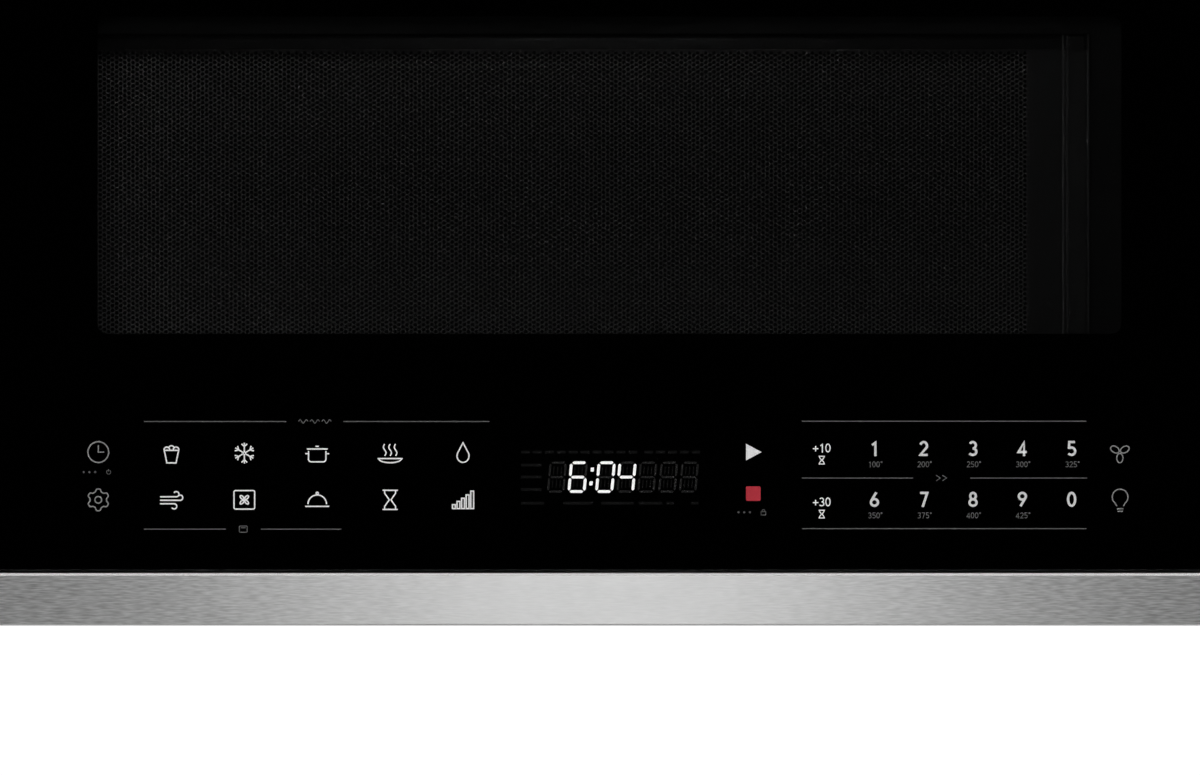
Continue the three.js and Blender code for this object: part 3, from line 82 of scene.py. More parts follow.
def fill(socket, value):
    """Gives an input a plain value or another node's output."""
    if is_output(value):
        socket.id_data.links.new(value, socket)
    else:
        socket.default_value = value


def node(beside, kind, inputs=None, **settings):
    """A shader node in the tree of another node, socket or the tree itself.

    Its settings are given by name, and its inputs are plain values or other nodes' outputs.
    """
    made = beside.id_data.nodes.new("ShaderNode" + kind)
    for name, value in settings.items():
        setattr(made, name, value)
    for key, value in (inputs or {}).items():
        fill(made.inputs[key], value)
    return made


def math_node(operation, *values):
    """Arithmetic on plain numbers and outputs, of which there is at least one."""
    beside = next(v for v in values if is_output(v))
    return node(beside, "Math", dict(enumerate(values)), operation=operation).outputs[0]


def times(first, second):
    return math_node("MULTIPLY", first, second)


def plus(first, second):
    return math_node("ADD", first, second)


def minus(first, second):
    return math_node("SUBTRACT", first, second)


def vector_node(operation, first, second):
    return node(first, "VectorMath", {0: first, 1: second}, operation=operation).outputs["Vector"]


def remap(value, low, high, to_low=0.0, to_high=1.0):
    """A value stretched from one range to another and held inside it."""
    ranges = {"Value": value, "From Min": low, "From Max": high, "To Min": to_low, "To Max": to_high}
    return node(value, "MapRange", ranges).outputs["Result"]


def blend_colours(amount, first, second):
    """A mix of two colours, each an output or three plain numbers."""
    a, b = (c if is_output(c) else (*c, 1) for c in (first, second))
    return node(amount, "Mix", {"Factor": amount, "A": a, "B": b}, data_type="RGBA").outputs["Result"]


def noise(vector, scale, detail=2.0, roughness=0.5):
    inputs = {"Vector": vector, "Scale": scale, "Detail": detail, "Roughness": roughness}
    return node(vector, "TexNoise", inputs).outputs["Fac"]


def bumped(height, depth):
    """A normal that follows a height of 0 to 1, which stands for a depth in metres."""
    return node(height, "Bump", {"Height": height, "Distance": depth, "Strength": 1.0}).outputs["Normal"]


def place(beside):
    """The point on the surface, in metres in the part's own frame."""
    return node(beside, "TexCoord").outputs["Object"]


def channel(kind, vector, name):
    """One part of a point (kind XYZ) or of a colour (kind Color)."""
    key = "Vector" if kind == "XYZ" else "Color"
    return node(vector, "Separate" + kind, {key: vector}).outputs[name]


def start_effect(name, inputs, outputs):
    """A node group, from its inputs with their defaults and its outputs with their kinds."""
    tree = bpy.data.node_groups.new(name, "ShaderNodeTree")
    for label, value in inputs.items():
        kind = "value" if isinstance(value, float) else "vector"
        socket = tree.interface.new_socket(name=label, in_out="INPUT", socket_type=SOCKETS[kind])
        socket.default_value = value
    for label, kind in outputs.items():
        tree.interface.new_socket(name=label, in_out="OUTPUT", socket_type=SOCKETS[kind])
    given = tree.nodes.new("NodeGroupInput").outputs
    result = tree.nodes.new("NodeGroupOutput").inputs
    return tree, given, result


def end_surface(given, result, relief, depth, shade, unevenness):
    """The outputs of a surface effect; the unevenness, from 0 to 1, spreads its roughness."""
    change = times(minus(unevenness, 0.5), given["Spread"])
    fill(result["Roughness"], plus(given["Roughness"], change))
    fill(result["Normal"], bumped(relief, depth))
    fill(result["Shade"], shade)


def use_effect(shader, effect, **values):
    """Places an effect beside a shader with its own values."""
    inputs = {key.capitalize(): value for key, value in values.items()}
    return node(shader, "Group", inputs, node_tree=effect).outputs


def make_moulded_grain():
    """The fine even texture of moulded plastic or powder coat. Grain and Depth are in millimetres."""
    inputs = {"Grain": 0.5, "Depth": 0.02, "Roughness": 0.5, "Spread": 0.08}
    tree, given, result = start_effect("moulded_grain", inputs, SURFACE)
    here = place(tree)
    cells = math_node("DIVIDE", 1 / MM, given["Grain"])
    fine = noise(here, cells, detail=3.0, roughness=0.6)
    broad = noise(here, scale=9.0, detail=3.0, roughness=0.55)
    depth = times(given["Depth"], MM)
    end_surface(given, result, fine, depth, shade=fine, unevenness=broad)
    return tree


def make_brushed_grain():
    """Long scratches of a belt-polished sheet. Lines is how many noise cells a metre has along each axis."""
    inputs = {"Lines": (30.0, 5000.0, 5000.0), "Depth": 0.002, "Roughness": 0.35, "Spread": 0.12}
    tree, given, result = start_effect("brushed_grain", inputs, SURFACE)
    stretched = vector_node("MULTIPLY", place(tree), given["Lines"])
    lines = noise(stretched, scale=1.0, detail=1.5)
    depth = times(given["Depth"], MM)
    end_surface(given, result, lines, depth, shade=lines, unevenness=lines)
    return tree


def make_zinc_spangle():
    """The crystals of a zinc coating, each with its own shade and shine. Crystal is in millimetres."""
    inputs = {"Crystal": 9.0, "Roughness": 0.4, "Spread": 0.16}
    tree, given, result = start_effect("zinc_spangle", inputs, SURFACE)
    here = place(tree)
    ragged, scratch_depth = 4 * MM, 0.004 * MM
    wander = node(tree, "TexNoise", {"Vector": here, "Scale": 160.0, "Detail": 2.0}).outputs["Color"]
    moved = vector_node("ADD", here, vector_node("MULTIPLY", wander, grey(ragged)))
    scale = math_node("DIVIDE", 1 / MM, given["Crystal"])
    crystals = node(tree, "TexVoronoi", {"Vector": moved, "Scale": scale})
    shade = channel("Color", crystals.outputs["Color"], "Red")
    scratches = noise(here, scale=900.0, detail=3.0, roughness=0.6)
    end_surface(given, result, scratches, scratch_depth, shade, unevenness=shade)
    return tree


def make_handling_marks():
    """Faint wiping marks and a little dust, as a mask from 0 to 1. Size is in millimetres."""
    tree, given, result = start_effect("handling_marks", {"Size": 60.0, "Amount": 0.5}, {"Mask": "value"})
    here = place(tree)
    scale = math_node("DIVIDE", 1 / MM, given["Size"])
    clouds = noise(here, scale, detail=5.0, roughness=0.62)
    streaks = noise(here, times(scale, 9.0))
    mixed = times(clouds, plus(streaks, 0.5))
    mask = remap(mixed, 0.35, 0.75)
    fill(result["Mask"], times(mask, given["Amount"]))
    return tree


MOULDED = make_moulded_grain()
BRUSHED = make_brushed_grain()
SPANGLE = make_zinc_spangle()
MARKS = make_handling_marks()

# -------- materials


def start_material(name, colour, roughness, **plain):
    """A material with a Principled shader whose plain values sit on the shader's own sockets."""
    made = bpy.data.materials.new(name)
    made.use_nodes = True
    shader = made.node_tree.nodes["Principled BSDF"]
    for key, value in {"Base_Color": (*colour, 1), "Roughness": roughness, **plain}.items():
        shader.inputs[key.replace("_", " ")].default_value = value
    return made, shader


def wire(shader, outputs):
    """Feeds an effect's roughness and normal to the shader."""
    for key in ("Roughness", "Normal"):
        fill(shader.inputs[key], outputs[key])


def moulded_skin(shader, **values):
    """Gives the shader the moulded grain's roughness and normal; its shade is left for the colour."""
    outputs = use_effect(shader, MOULDED, **values)
    wire(shader, outputs)
    return outputs["Shade"]


def two_shades(shader, amount, dark, light):
    """Colours the shader with a mix of two colours."""
    fill(shader.inputs["Base Color"], blend_colours(amount, dark, light))


def let_through(shader, amount, colour=grey(1.0)):
    """Lets light pass straight through the surface, by an amount from 0 to 1."""
    clear = node(shader, "BsdfTransparent", {"Color": (*colour, 1)}).outputs["BSDF"]
    mixed = node(shader, "MixShader", {0: amount, 1: shader.outputs["BSDF"], 2: clear})
    fill(shader.id_data.nodes["Material Output"].inputs["Surface"], mixed.outputs["Shader"])


def slanting(shader):
    """1 where a face looks up or down at about 45 degrees, and 0 elsewhere."""
    facing = node(shader, "NewGeometry").outputs["True Normal"]
    upward = channel("XYZ", facing, "Z")
    return math_node("COMPARE", math_node("ABSOLUTE", upward), math.sqrt(0.5), 0.2)


def polish_slant(shader, slant, roughness):
    """Lowers the roughness and brightens the metal where a face slants."""
    polished = node(slant, "Mix", {"Factor": slant, "A": roughness, "B": 0.16})
    fill(shader.inputs["Roughness"], polished.outputs["Result"])
    metal = shader.inputs["Base Color"].links[0].from_socket
    two_shades(shader, slant, metal, grey(0.9))


def fade_grain_under_highlight(shade):
    """A strip's grain, which is plain at both ends and next to nothing in the middle: painted light, as the
    fading stands in for the front lamp's highlight washing the grain out there.
    """
    from_middle = math_node("ABSOLUTE", channel("XYZ", place(shade), "X"))
    strength = remap(from_middle, 40 * MM, 220 * MM, 0.15, 1.0)
    return math_node("MULTIPLY_ADD", minus(shade, 0.5), strength, 0.5)


def brushed_metal(name, lines, dark, light, roughness, round_axis, turned=0.0, is_strip=False):
    """Steel or aluminium with a grain; the shine spreads across it, by the tangent round an axis.

    The strip under the door glass has a polished chamfer and hem, which face up and down at a slant.
    """
    made, shader = start_material(
        name, light, roughness, Metallic=1.0, Anisotropic=0.88, Anisotropic_Rotation=turned
    )
    slant = slanting(shader) if is_strip else None
    depth = times(minus(1.0, slant), GRAIN_DEPTH) if is_strip else GRAIN_DEPTH
    grain = use_effect(shader, BRUSHED, lines=lines, depth=depth, roughness=roughness, spread=0.02)
    marks = use_effect(shader, MARKS, size=70.0, amount=0.5)
    wire(shader, grain)
    streaks = remap(grain["Shade"], 0.3, 0.7)
    # painted light: the grain fades where the front lamp's highlight lies
    if is_strip:
        streaks = fade_grain_under_highlight(streaks)
    dulled = minus(streaks, times(marks["Mask"], 0.15))
    two_shades(shader, math_node("MAXIMUM", dulled, 0.0), dark, light)
    if is_strip:
        polish_slant(shader, slant, grain["Roughness"])
    tangent = node(shader, "Tangent", direction_type="RADIAL", axis=round_axis).outputs["Tangent"]
    fill(shader.inputs["Tangent"], tangent)
    return made


def powder_coat(name, dark, light, grain, roughness, **plain):
    """Paint over sheet, with a fine orange-peel texture."""
    made, shader = start_material(name, light, roughness, **plain)
    moulded_skin(shader, grain=grain, depth=0.012, roughness=roughness, spread=0.14)
    marks = use_effect(shader, MARKS, size=90.0, amount=0.6)
    two_shades(shader, marks["Mask"], dark, light)
    return made


def plastic(name, dark, light, grain, depth, roughness, **plain):
    """A moulding with its spark-eroded texture."""
    made, shader = start_material(name, light, roughness, **plain)
    shade = moulded_skin(shader, grain=grain, depth=depth, roughness=roughness, spread=0.16)
    two_shades(shader, remap(shade, 0.3, 0.7), dark, light)
    return made


def zinc_sheet(name, dark, light, crystal, roughness):
    """Zinc-coated sheet; handling marks take some of the crystals' brightness."""
    made, shader = start_material(name, light, roughness, Metallic=1.0)
    spangle = use_effect(shader, SPANGLE, crystal=crystal, roughness=roughness, spread=0.1)
    marks = use_effect(shader, MARKS, size=120.0, amount=0.2)
    wire(shader, spangle)
    shade = math_node("MULTIPLY_ADD", marks["Mask"], -0.4, spangle["Shade"])
    two_shades(shader, math_node("MAXIMUM", shade, 0.0), dark, light)
    return made


def oven_enamel():
    """Fired enamel, darkened to a deep grey as painted shade for the cavity seen through the door's holes,
    with fine pale and dark speckles under a glossy skin.
    """
    enamel_darkened_as_shade, black, pale_fleck = (0.09, 0.092, 0.093), (0.055, 0.056, 0.057), (0.18, 0.185, 0.19)
    made, shader = start_material("oven_enamel", enamel_darkened_as_shade, 0.28, Coat_Weight=0.25)
    here = place(shader)
    pale, deep = (remap(noise(here, scale, 1.0), 0.66, 0.7) for scale in (1400.0, 900.0))
    moulded_skin(shader, grain=3.0, depth=0.03, roughness=0.27, spread=0.1)
    base = blend_colours(deep, enamel_darkened_as_shade, black)
    two_shades(shader, pale, base, pale_fleck)
    return made


def clear_glass(name, colour):
    """Glass that lets the lamps through to what is behind it."""
    made, shader = start_material(name, colour, 0.01, Transmission_Weight=1.0, IOR=1.5)
    once = tuple(math.sqrt(c) for c in colour)  # a shadow ray meets both faces of a pane
    let_through(shader, node(shader, "LightPath").outputs["Is Shadow Ray"], once)
    return made


def ink(name, colour, lit_and_painted_glow):
    """Screen print, with the faint unevenness of its mesh and a light of its own: a real lamp in the
    display's lit bars, and painted light in the print and in the display's unlit and faint bars.
    """
    made, shader = start_material(name, colour, 0.55, Specular_IOR_Level=0.0, Emission_Strength=lit_and_painted_glow)
    mottle = remap(noise(place(shader), scale=4000.0), 0.2, 0.8)
    wear_and_painted_light = tuple(0.82 * c for c in colour)
    two_shades(shader, mottle, wear_and_painted_light, colour)
    fill(shader.inputs["Emission Color"], blend_colours(mottle, wear_and_painted_light, colour))
    return made


def wear_and_painted_light_round_holes(across, up):
    """How much paler the paint is in the punched field: partly wear round the holes and a painted sheen on
    their rims, and painted light that is strongest at the left and along the foot; a little paler towards the
    head.
    """
    (left, right), (low, high) = FIELD
    # painted light: the field is made paler towards its left end
    at_right, more_at_left, falloff = 0.33, 0.25, 3.5
    from_right = remap(across, right * MM, left * MM)
    leftward = math_node("POWER", from_right, falloff)
    sideways = math_node("MULTIPLY_ADD", leftward, more_at_left, at_right)
    # painted light along the foot of the field
    at_foot = remap(up, low * MM, (low + 14) * MM, 0.5, 0.0)
    at_head = remap(up, (high - 35) * MM, (high - 7) * MM, 0.0, 0.15)
    upright = plus(plus(at_foot, at_head), 1.0)
    # the whole field is paler: partly wear round the holes, partly a painted sheen on their rims
    beside = remap(across, right * MM, (right + 0.5) * MM, 1.0, 0.0)
    below = remap(up, (high - 4) * MM, (high - 0.5) * MM, 1.0, 0.0)
    holed = times(beside, below)
    return times(times(sideways, upright), holed)


def painted_highlights_on_ridges(across):
    """Painted highlights along the rib's two shoulders and along the plate's right bend, and a slightly paler
    band beside the rib.
    """
    wear_and_painted_light = 0.0
    for middle, half_width, amount in PALER_LINES:
        line = math_node("COMPARE", across, middle * MM, half_width * MM)
        wear_and_painted_light = math_node("MULTIPLY_ADD", line, amount, wear_and_painted_light)
    return wear_and_painted_light


def perforated_paint_and_painted_light():
    """Black paint that is paler where the plate was punched and pressed, partly from wear and partly as
    painted light, highlight and shade.
    """
    made, shader = start_material("perforated_paint_and_painted_light", grey(0.01), 0.16, Specular_IOR_Level=0.12)
    here = place(shader)
    across = channel("XYZ", here, "X")
    up = channel("XYZ", here, "Z")
    top = FIELD[1][1]
    # painted shade: the plate stays darkest above the holes' top edge, as in the shadow of the print's top
    # edge; below it the plain plate is a little paler
    plain = remap(up, (top - 1) * MM, (top + 1.5) * MM, 0.093, 0.0)
    holes = wear_and_painted_light_round_holes(across, up)
    wear_and_painted_light = plus(plus(plain, holes), painted_highlights_on_ridges(across))
    moulded_skin(shader, grain=0.6, depth=0.0008, roughness=0.16, spread=0.03)
    two_shades(shader, wear_and_painted_light, DARKEST_PAINT, PALEST_PAINT)
    return made


def circuit_board():
    """Green solder mask over copper tracks and pads."""
    green, over_copper, tinned_pad = (0.012, 0.085, 0.03), (0.03, 0.17, 0.06), (0.55, 0.55, 0.5)
    made, shader = start_material("circuit_board", (0.02, 0.11, 0.04), 0.35, Coat_Weight=0.3)
    squares = {"Vector": place(shader), "Scale": 260.0}
    distance = node(shader, "TexVoronoi", squares, distance="CHEBYCHEV").outputs["Distance"]
    tracks = remap(distance, 0.44, 0.5)
    pads = remap(distance, 0.1, 0.08)
    moulded_skin(shader, grain=0.8, depth=0.01, roughness=0.34, spread=0.1)
    two_shades(shader, pads, blend_colours(tracks, green, over_copper), tinned_pad)
    return made


def carbon_granules():
    """Black grains with hollows between them."""
    made, shader = start_material("carbon_granules", grey(0.01), 0.8)
    grains = node(shader, "TexVoronoi", {"Vector": place(shader), "Scale": 420.0}).outputs
    fill(shader.inputs["Normal"], bumped(grains["Distance"], 1.2 * MM))
    shade = channel("Color", grains["Color"], "Red")
    two_shades(shader, shade, grey(0.004), (0.022, 0.022, 0.023))
    return made


def mica_sheet():
    """Pressed mineral sheet: pale flakes in thin layers."""
    made, shader = start_material("mica_sheet", (0.5, 0.45, 0.34), 0.42, Coat_Weight=0.1)
    flakes = node(shader, "TexVoronoi", {"Vector": place(shader), "Scale": 240.0}).outputs
    shade = channel("Color", flakes["Color"], "Green")
    moulded_skin(shader, grain=2.0, depth=0.03, roughness=0.42, spread=0.2)
    two_shades(shader, shade, (0.4, 0.35, 0.25), (0.62, 0.57, 0.45))
    return made


GRAIN_DEPTH = 0.02
ACROSS = (190.0, 1800.0, 1800.0)  # the grain's noise cells in a metre along x, y and z
LENGTHWISE = (2100.0, 300.0, 2100.0)

FINISHES = {
    "case_paint": powder_coat(
        "case_paint", (0.012, 0.012, 0.013), (0.02, 0.02, 0.021), grain=0.7, roughness=0.42,
        Coat_Weight=0.06, Coat_Roughness=0.25,
    ),
    "stainless": brushed_metal(
        "brushed_stainless", ACROSS, grey(0.41), grey(0.74), 0.38, round_axis="Z", turned=0.25, is_strip=True
    ),
    "galvanised_sheet": zinc_sheet(
        "galvanised_sheet", (0.47, 0.49, 0.5), (0.53, 0.55, 0.56), crystal=6.0, roughness=0.5
    ),
    "oven_enamel": oven_enamel(),
    "door_glass": clear_glass("tinted_door_glass", grey(0.6)),
    "black_plastic": plastic(
        "black_plastic", grey(0.006), grey(0.014), grain=0.35, depth=0.02, roughness=0.5
    ),
    "screen_paint": powder_coat(
        "screen_paint", grey(0.006), grey(0.01), grain=0.5, roughness=0.6, Specular_IOR_Level=0.04
    ),
    "clear_glass": clear_glass("clear_glass", (0.93, 0.97, 0.95)),
    "white_plastic": plastic(
        "white_plastic", (0.6, 0.6, 0.56), (0.74, 0.74, 0.7), grain=0.5, depth=0.01, roughness=0.4
    ),
    "filter_aluminium": brushed_metal(
        "mill_aluminium", LENGTHWISE, (0.5, 0.51, 0.52), (0.66, 0.67, 0.68), 0.44, round_axis="Y"
    ),
    "circuit_board": circuit_board(),
    "display_face": plastic(
        "display_face", grey(0.0006), grey(0.001), grain=1.0, depth=0.002, roughness=0.3,
        Specular_IOR_Level=0.0,
    ),
    "dark_steel": zinc_sheet(
        "dark_zinc_plate", (0.1, 0.1, 0.11), (0.22, 0.22, 0.23), crystal=3.0, roughness=0.4
    ),
    "carbon": carbon_granules(),
    "mica": mica_sheet(),
    "rubber": plastic("rubber", grey(0.008), grey(0.016), grain=0.8, depth=0.03, roughness=0.75),
}

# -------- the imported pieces


def make_soft_creases():
    """Geometry nodes that weld a sheet's corners and shade its curved faces smooth, up to its creases."""
    tree = bpy.data.node_groups.new("soft_creases", "GeometryNodeTree")
    for way in ("INPUT", "OUTPUT"):
        tree.interface.new_socket(name="Geometry", in_out=way, socket_type="NodeSocketGeometry")
    kinds = (
        "NodeGroupInput", "GeometryNodeRemoveAttribute", "GeometryNodeMergeByDistance",
        "GeometryNodeSetShadeSmooth", "GeometryNodeSetShadeSmooth", "NodeGroupOutput",
    )
    steps = [tree.nodes.new(kind) for kind in kinds]
    for before, after in zip(steps, steps[1:]):
        tree.links.new(before.outputs["Geometry"], after.inputs["Geometry"])
    bare, weld, faces, edges = steps[1:-1]
    bare.inputs["Name"].default_value = "custom_normal"
    weld.inputs["Distance"].default_value = 0.002 * MM
    faces.domain = "FACE"
    edges.domain = "EDGE"
    edges.inputs["Shade Smooth"].default_value = False
    sharp = tree.nodes.new("FunctionNodeCompare")
    sharp.operation = "GREATER_THAN"
    sharp.inputs["B"].default_value = math.radians(CREASE)
    angle = tree.nodes.new("GeometryNodeInputMeshEdgeAngle")
    tree.links.new(angle.outputs["Unsigned Angle"], sharp.inputs["A"])
    tree.links.new(sharp.outputs["Result"], edges.inputs["Selection"])
    return tree


CREASE = 34  # degrees from which an edge is sharp
SOFT_CREASES = make_soft_creases()

# The pieces that show, by the radius in millimetres of their eased edges
EASED = {
    0.08: ["door_trim"],
    0.15: ["cavity_left_wall", "cavity_right_wall", "front_frame"],
    0.2: ["top_panel", "back_panel", "damper_frame"],
    0.25: ["side_panel_left", "side_panel_right", "door_glass", "base_pan"],
    0.3: ["wall_plate", "glass_carrier", "hinge_upper", "hinge_lower"],
    0.35: ["vent_grille"],
    0.4: ["grease_filter_left", "grease_filter_right", "interlock_cradle", "lamp_cover"],
    0.5: ["latch_lever"],
    0.6: ["choke_cover"],
}


def ease_edges(piece, radius):
    eased = piece.modifiers.new("eased_edges", "BEVEL")
    eased.width = radius * MM
    eased.segments = 2
    eased.limit_method = "ANGLE"
    eased.angle_limit = math.radians(40)
    eased.harden_normals = True


def matt_moulding():
    """The dull black of the moulding behind the glass, which gives back next to no light."""
    return plastic(
        "matt_moulding", grey(0.003), grey(0.006), grain=0.35, depth=0.02, roughness=0.6,
        Specular_IOR_Level=0.04,
    )


def dress_packed_pieces():
    """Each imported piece's finish by its material slot, or its own, with soft creases and eased edges."""
    slots = {row["node"]: row["material_slot"] for row in frame["record"]["subparts"]}
    underside = brushed_metal("brushed_underside", ACROSS, grey(0.56), grey(0.66), 0.42, round_axis="X")
    smoked = clear_glass("smoked_inner_glass", grey(0.45))
    special = {"glass_carrier": matt_moulding(), "base_pan": underside, "inner_window": smoked}
    for name, piece in frame["nodes"].items():
        piece.material_slots[0].material = special.get(name) or FINISHES[slots[name]]
        creases = piece.modifiers.new("soft_creases", "NODES")
        creases.node_group = SOFT_CREASES
    for radius, names in EASED.items():
        for name in names:
            ease_edges(frame["nodes"][name], radius)


dress_packed_pieces()

# -------- making meshes


def make_piece(name, points, faces, body, finish, slot=None, stands_for=(), creased=CREASE):
    """A mesh from points in millimetres, riding on its body."""
    mesh = bpy.data.meshes.new(name)
    mesh.from_pydata([[c * MM for c in p] for p in points], [], faces)
    mesh.update()
    mesh.materials.append(finish)
    mesh.shade_smooth()
    mesh.set_sharp_from_angle(angle=math.radians(creased))
    made = add_object(name, mesh)
    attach(made, body)
    if stands_for:
        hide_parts(*stands_for)


class Solid:
    """Points and faces that are added up before they become one piece."""

    def __init__(self):
        self.points = []
        self.faces = []

    def add(self, points, faces, matrix=None):
        first = len(self.points)
        self.points += [tuple(matrix @ Vector(p)) for p in points] if matrix else list(points)
        self.faces += [[first + i for i in face] for face in faces]

    def panel(self, x, z, y):
        """A rectangle that faces the front."""
        self.add([(x[0], y, z[0]), (x[1], y, z[0]), (x[1], y, z[1]), (x[0], y, z[1])], [[0, 1, 2, 3]])

    def turned(self, profile, matrix, sides):
        """A body of revolution about the matrix's Z axis, from a profile of (radius, height)."""
        points, faces = [], []
        for i in range(sides):
            angle = TURN * i / sides
            points += [(r * math.cos(angle), r * math.sin(angle), z) for r, z in profile]
        count = len(profile)
        for i in range(sides):
            a, b = i * count, ((i + 1) % sides) * count
            faces += [[a + j, b + j, b + j + 1, a + j + 1] for j in range(count - 1)]
        self.add(points, faces, matrix)

    def make(self, name, body, slot=None, finish=None, **more):
        """The piece, in its slot's finish or its own."""
        make_piece(name, self.points, self.faces, body, finish or FINISHES[slot], slot, **more)


def circle(centre, radius, steps=24, start=0.0, end=360.0):
    """Points of an arc, with angles in degrees; a full circle doesn't repeat its first point."""
    whole = abs(end - start) >= 360
    count = steps if whole else steps + 1
    rx, rz = radius if isinstance(radius, tuple) else (radius, radius)
    angles = [math.radians(start + (end - start) * i / steps) for i in range(count)]
    return [(centre[0] + rx * math.cos(a), centre[1] + rz * math.sin(a)) for a in angles]


def rounded(x, z, radius, steps=6):
    """A rectangle with round corners, anticlockwise from its right side."""
    corners = [(x[1] - radius, z[1] - radius), (x[0] + radius, z[1] - radius)]
    corners += [(x[0] + radius, z[0] + radius), (x[1] - radius, z[0] + radius)]
    return [p for i, c in enumerate(corners) for p in circle(c, radius, steps, 90.0 * i, 90.0 * i + 90)]


def rotated(path, angle):
    c, s = math.cos(angle), math.sin(angle)
    return [(u * c - v * s, u * s + v * c) for u, v in path]


def closed(path):
    return path + [path[0]]


# -------- flat print and its marks


class Print(Solid):
    """Flat marks in a plane parallel to the door, in millimetres right of the middle and up from the base."""

    STEP = 0.003  # each stroke lies this much further forward, so that none lie in one plane
    LEVELS = 8

    def __init__(self, depth):
        super().__init__()
        self.depth = depth
        self.strokes = 0

    def put(self, flat, faces):
        y = self.depth - self.STEP * (self.strokes % self.LEVELS)
        self.strokes += 1
        self.add([(x, y, z) for x, z in flat], faces)

    def area(self, outline):
        self.put(outline, [list(range(len(outline)))])

    def line(self, path, width, is_loop=False):
        """A stroke along a path, mitred at its corners."""
        count = len(path)
        flat = []
        for i, here in enumerate(path):
            before = path[i - 1] if is_loop or i else here
            after = path[(i + 1) % count] if is_loop or i < count - 1 else here
            into = Vector((here[0] - before[0], here[1] - before[1]))
            out = Vector((after[0] - here[0], after[1] - here[1]))
            into = into.normalized() if into.length > 1e-9 else out.normalized()
            out = out.normalized() if out.length > 1e-9 else into
            middle = (into + out).normalized()
            side = Vector((-middle.y, middle.x)) * (width / 2 / max(0.5, middle.dot(into)))
            flat += [(here[0] + side.x, here[1] + side.y), (here[0] - side.x, here[1] - side.y)]
        pairs = count if is_loop else count - 1
        joins = [(2 * i, 2 * ((i + 1) % count)) for i in range(pairs)]
        self.put(flat, [[a, a + 1, b + 1, b] for a, b in joins])

    def marks(self, centre, scale, width, paths):
        """Strokes from a unit cell, put at a centre at a scale; one that ends at its start is a loop."""
        for path in paths:
            moved = [(centre[0] + scale * x, centre[1] + scale * z) for x, z in path]
            is_loop = len(path) > 2 and path[0] == path[-1]
            self.line(moved[:-1] if is_loop else moved, width, is_loop)

    def print_on_door(self, name, finish, slot=None):
        self.make(name, "door", slot, finish)


# Numerals as strokes in a cell one high, with the base line at 0
NUMERALS = {
    "0": [closed(circle((0, 0.5), (0.23, 0.42), 28))],
    "1": [[(-0.15, 0.72), (0.06, 0.88), (0.06, 0.0)]],
    "2": [circle((0, 0.68), (0.21, 0.24), 14, 165, -35) + [(-0.22, 0.08), (0.26, 0.08)]],
    "3": [
        circle((-0.02, 0.71), (0.2, 0.21), 14, 150, -90),
        circle((-0.02, 0.29), (0.24, 0.21), 14, 90, -150),
    ],
    "4": [[(0.29, 0.27), (-0.25, 0.27), (0.11, 0.9), (0.11, 0.0)]],
    "5": [[(0.22, 0.92), (-0.15, 0.92), (-0.17, 0.55)] + circle((-0.01, 0.32), (0.24, 0.24), 14, 110, -145)],
    "6": [closed(circle((0, 0.3), (0.23, 0.22))), [(0.12, 0.95), (-0.2, 0.42)]],
    "7": [[(-0.24, 0.92), (0.23, 0.92), (-0.07, 0.0)]],
    "8": [closed(circle((0, 0.71), (0.18, 0.21), 20)), closed(circle((0, 0.29), (0.23, 0.21)))],
    "9": [closed(circle((0, 0.7), (0.23, 0.22))), [(-0.12, 0.05), (0.2, 0.58)]],
    "+": [[(-0.3, 0.42), (0.3, 0.42)], [(0, 0.12), (0, 0.72)]],
    "°": [closed(circle((-0.1, 0.86), 0.1, 12))],
}
NUMERAL_PITCH = 0.66


def write_number(sheet, text, centre, height, width):
    """Plain numerals and signs, centred on a point."""
    pitch = NUMERAL_PITCH * height
    start = centre[0] - (len(text) - 1) * pitch / 2
    for i, sign in enumerate(text):
        sheet.marks((start + i * pitch, centre[1] - height / 2), height, width, NUMERALS[sign])


def wave(x0, x1, z, height):
    """One and a half waves of a zigzag rule."""
    waves, steps = 1.5, 18
    shares = [i / steps for i in range(steps + 1)]
    return [(x0 + (x1 - x0) * t, z + height * math.sin(TURN * waves * t)) for t in shares]


def popping_cup():
    puffs = [circle((x, 0.3 + 0.12 * (x == 0)), 0.26, 10, 0, 180) for x in (-0.42, 0.0, 0.42)]
    return [closed([(-0.66, 0.26), (0.66, 0.26), (0.42, -0.9), (-0.42, -0.9)]), *puffs]


def snowflake():
    arm = [(0.06, 0.0), (0.95, 0.0)]
    barb = [(0.86, 0.26), (0.6, 0.0), (0.86, -0.26)]
    return [rotated(path, TURN * (i + 0.5) / 6) for i in range(6) for path in (arm, barb)]


def covered_pot():
    pot = [(-0.8, 0.2), (-0.8, -0.55)] + circle((-0.55, -0.55), 0.25, 5, 180, 270)
    pot += circle((0.55, -0.55), 0.25, 5, 270, 360) + [(0.8, 0.2)]
    handles = [[(-1.1, -0.05), (-0.8, -0.05)], [(0.8, -0.05), (1.1, -0.05)]]
    return [pot, [(-0.95, 0.38), (0.95, 0.38)], [(-0.15, 0.62), (0.15, 0.62)], *handles]


def steaming_plate():
    wisp = [(0.12 * math.sin(TURN * i / 12), -0.25 + i * 0.09) for i in range(13)]
    steam = [[(x + u, v) for u, v in wisp] for x in (-0.5, 0, 0.5)]
    return [*steam, circle((0, -0.5), (1.05, 0.38), 14, 180, 360), [(-1.15, -0.5), (1.15, -0.5)]]


def drop():
    return [closed([(0.0, 0.95)] + circle((0, -0.25), (0.55, 0.6), 20, 35, -215))]


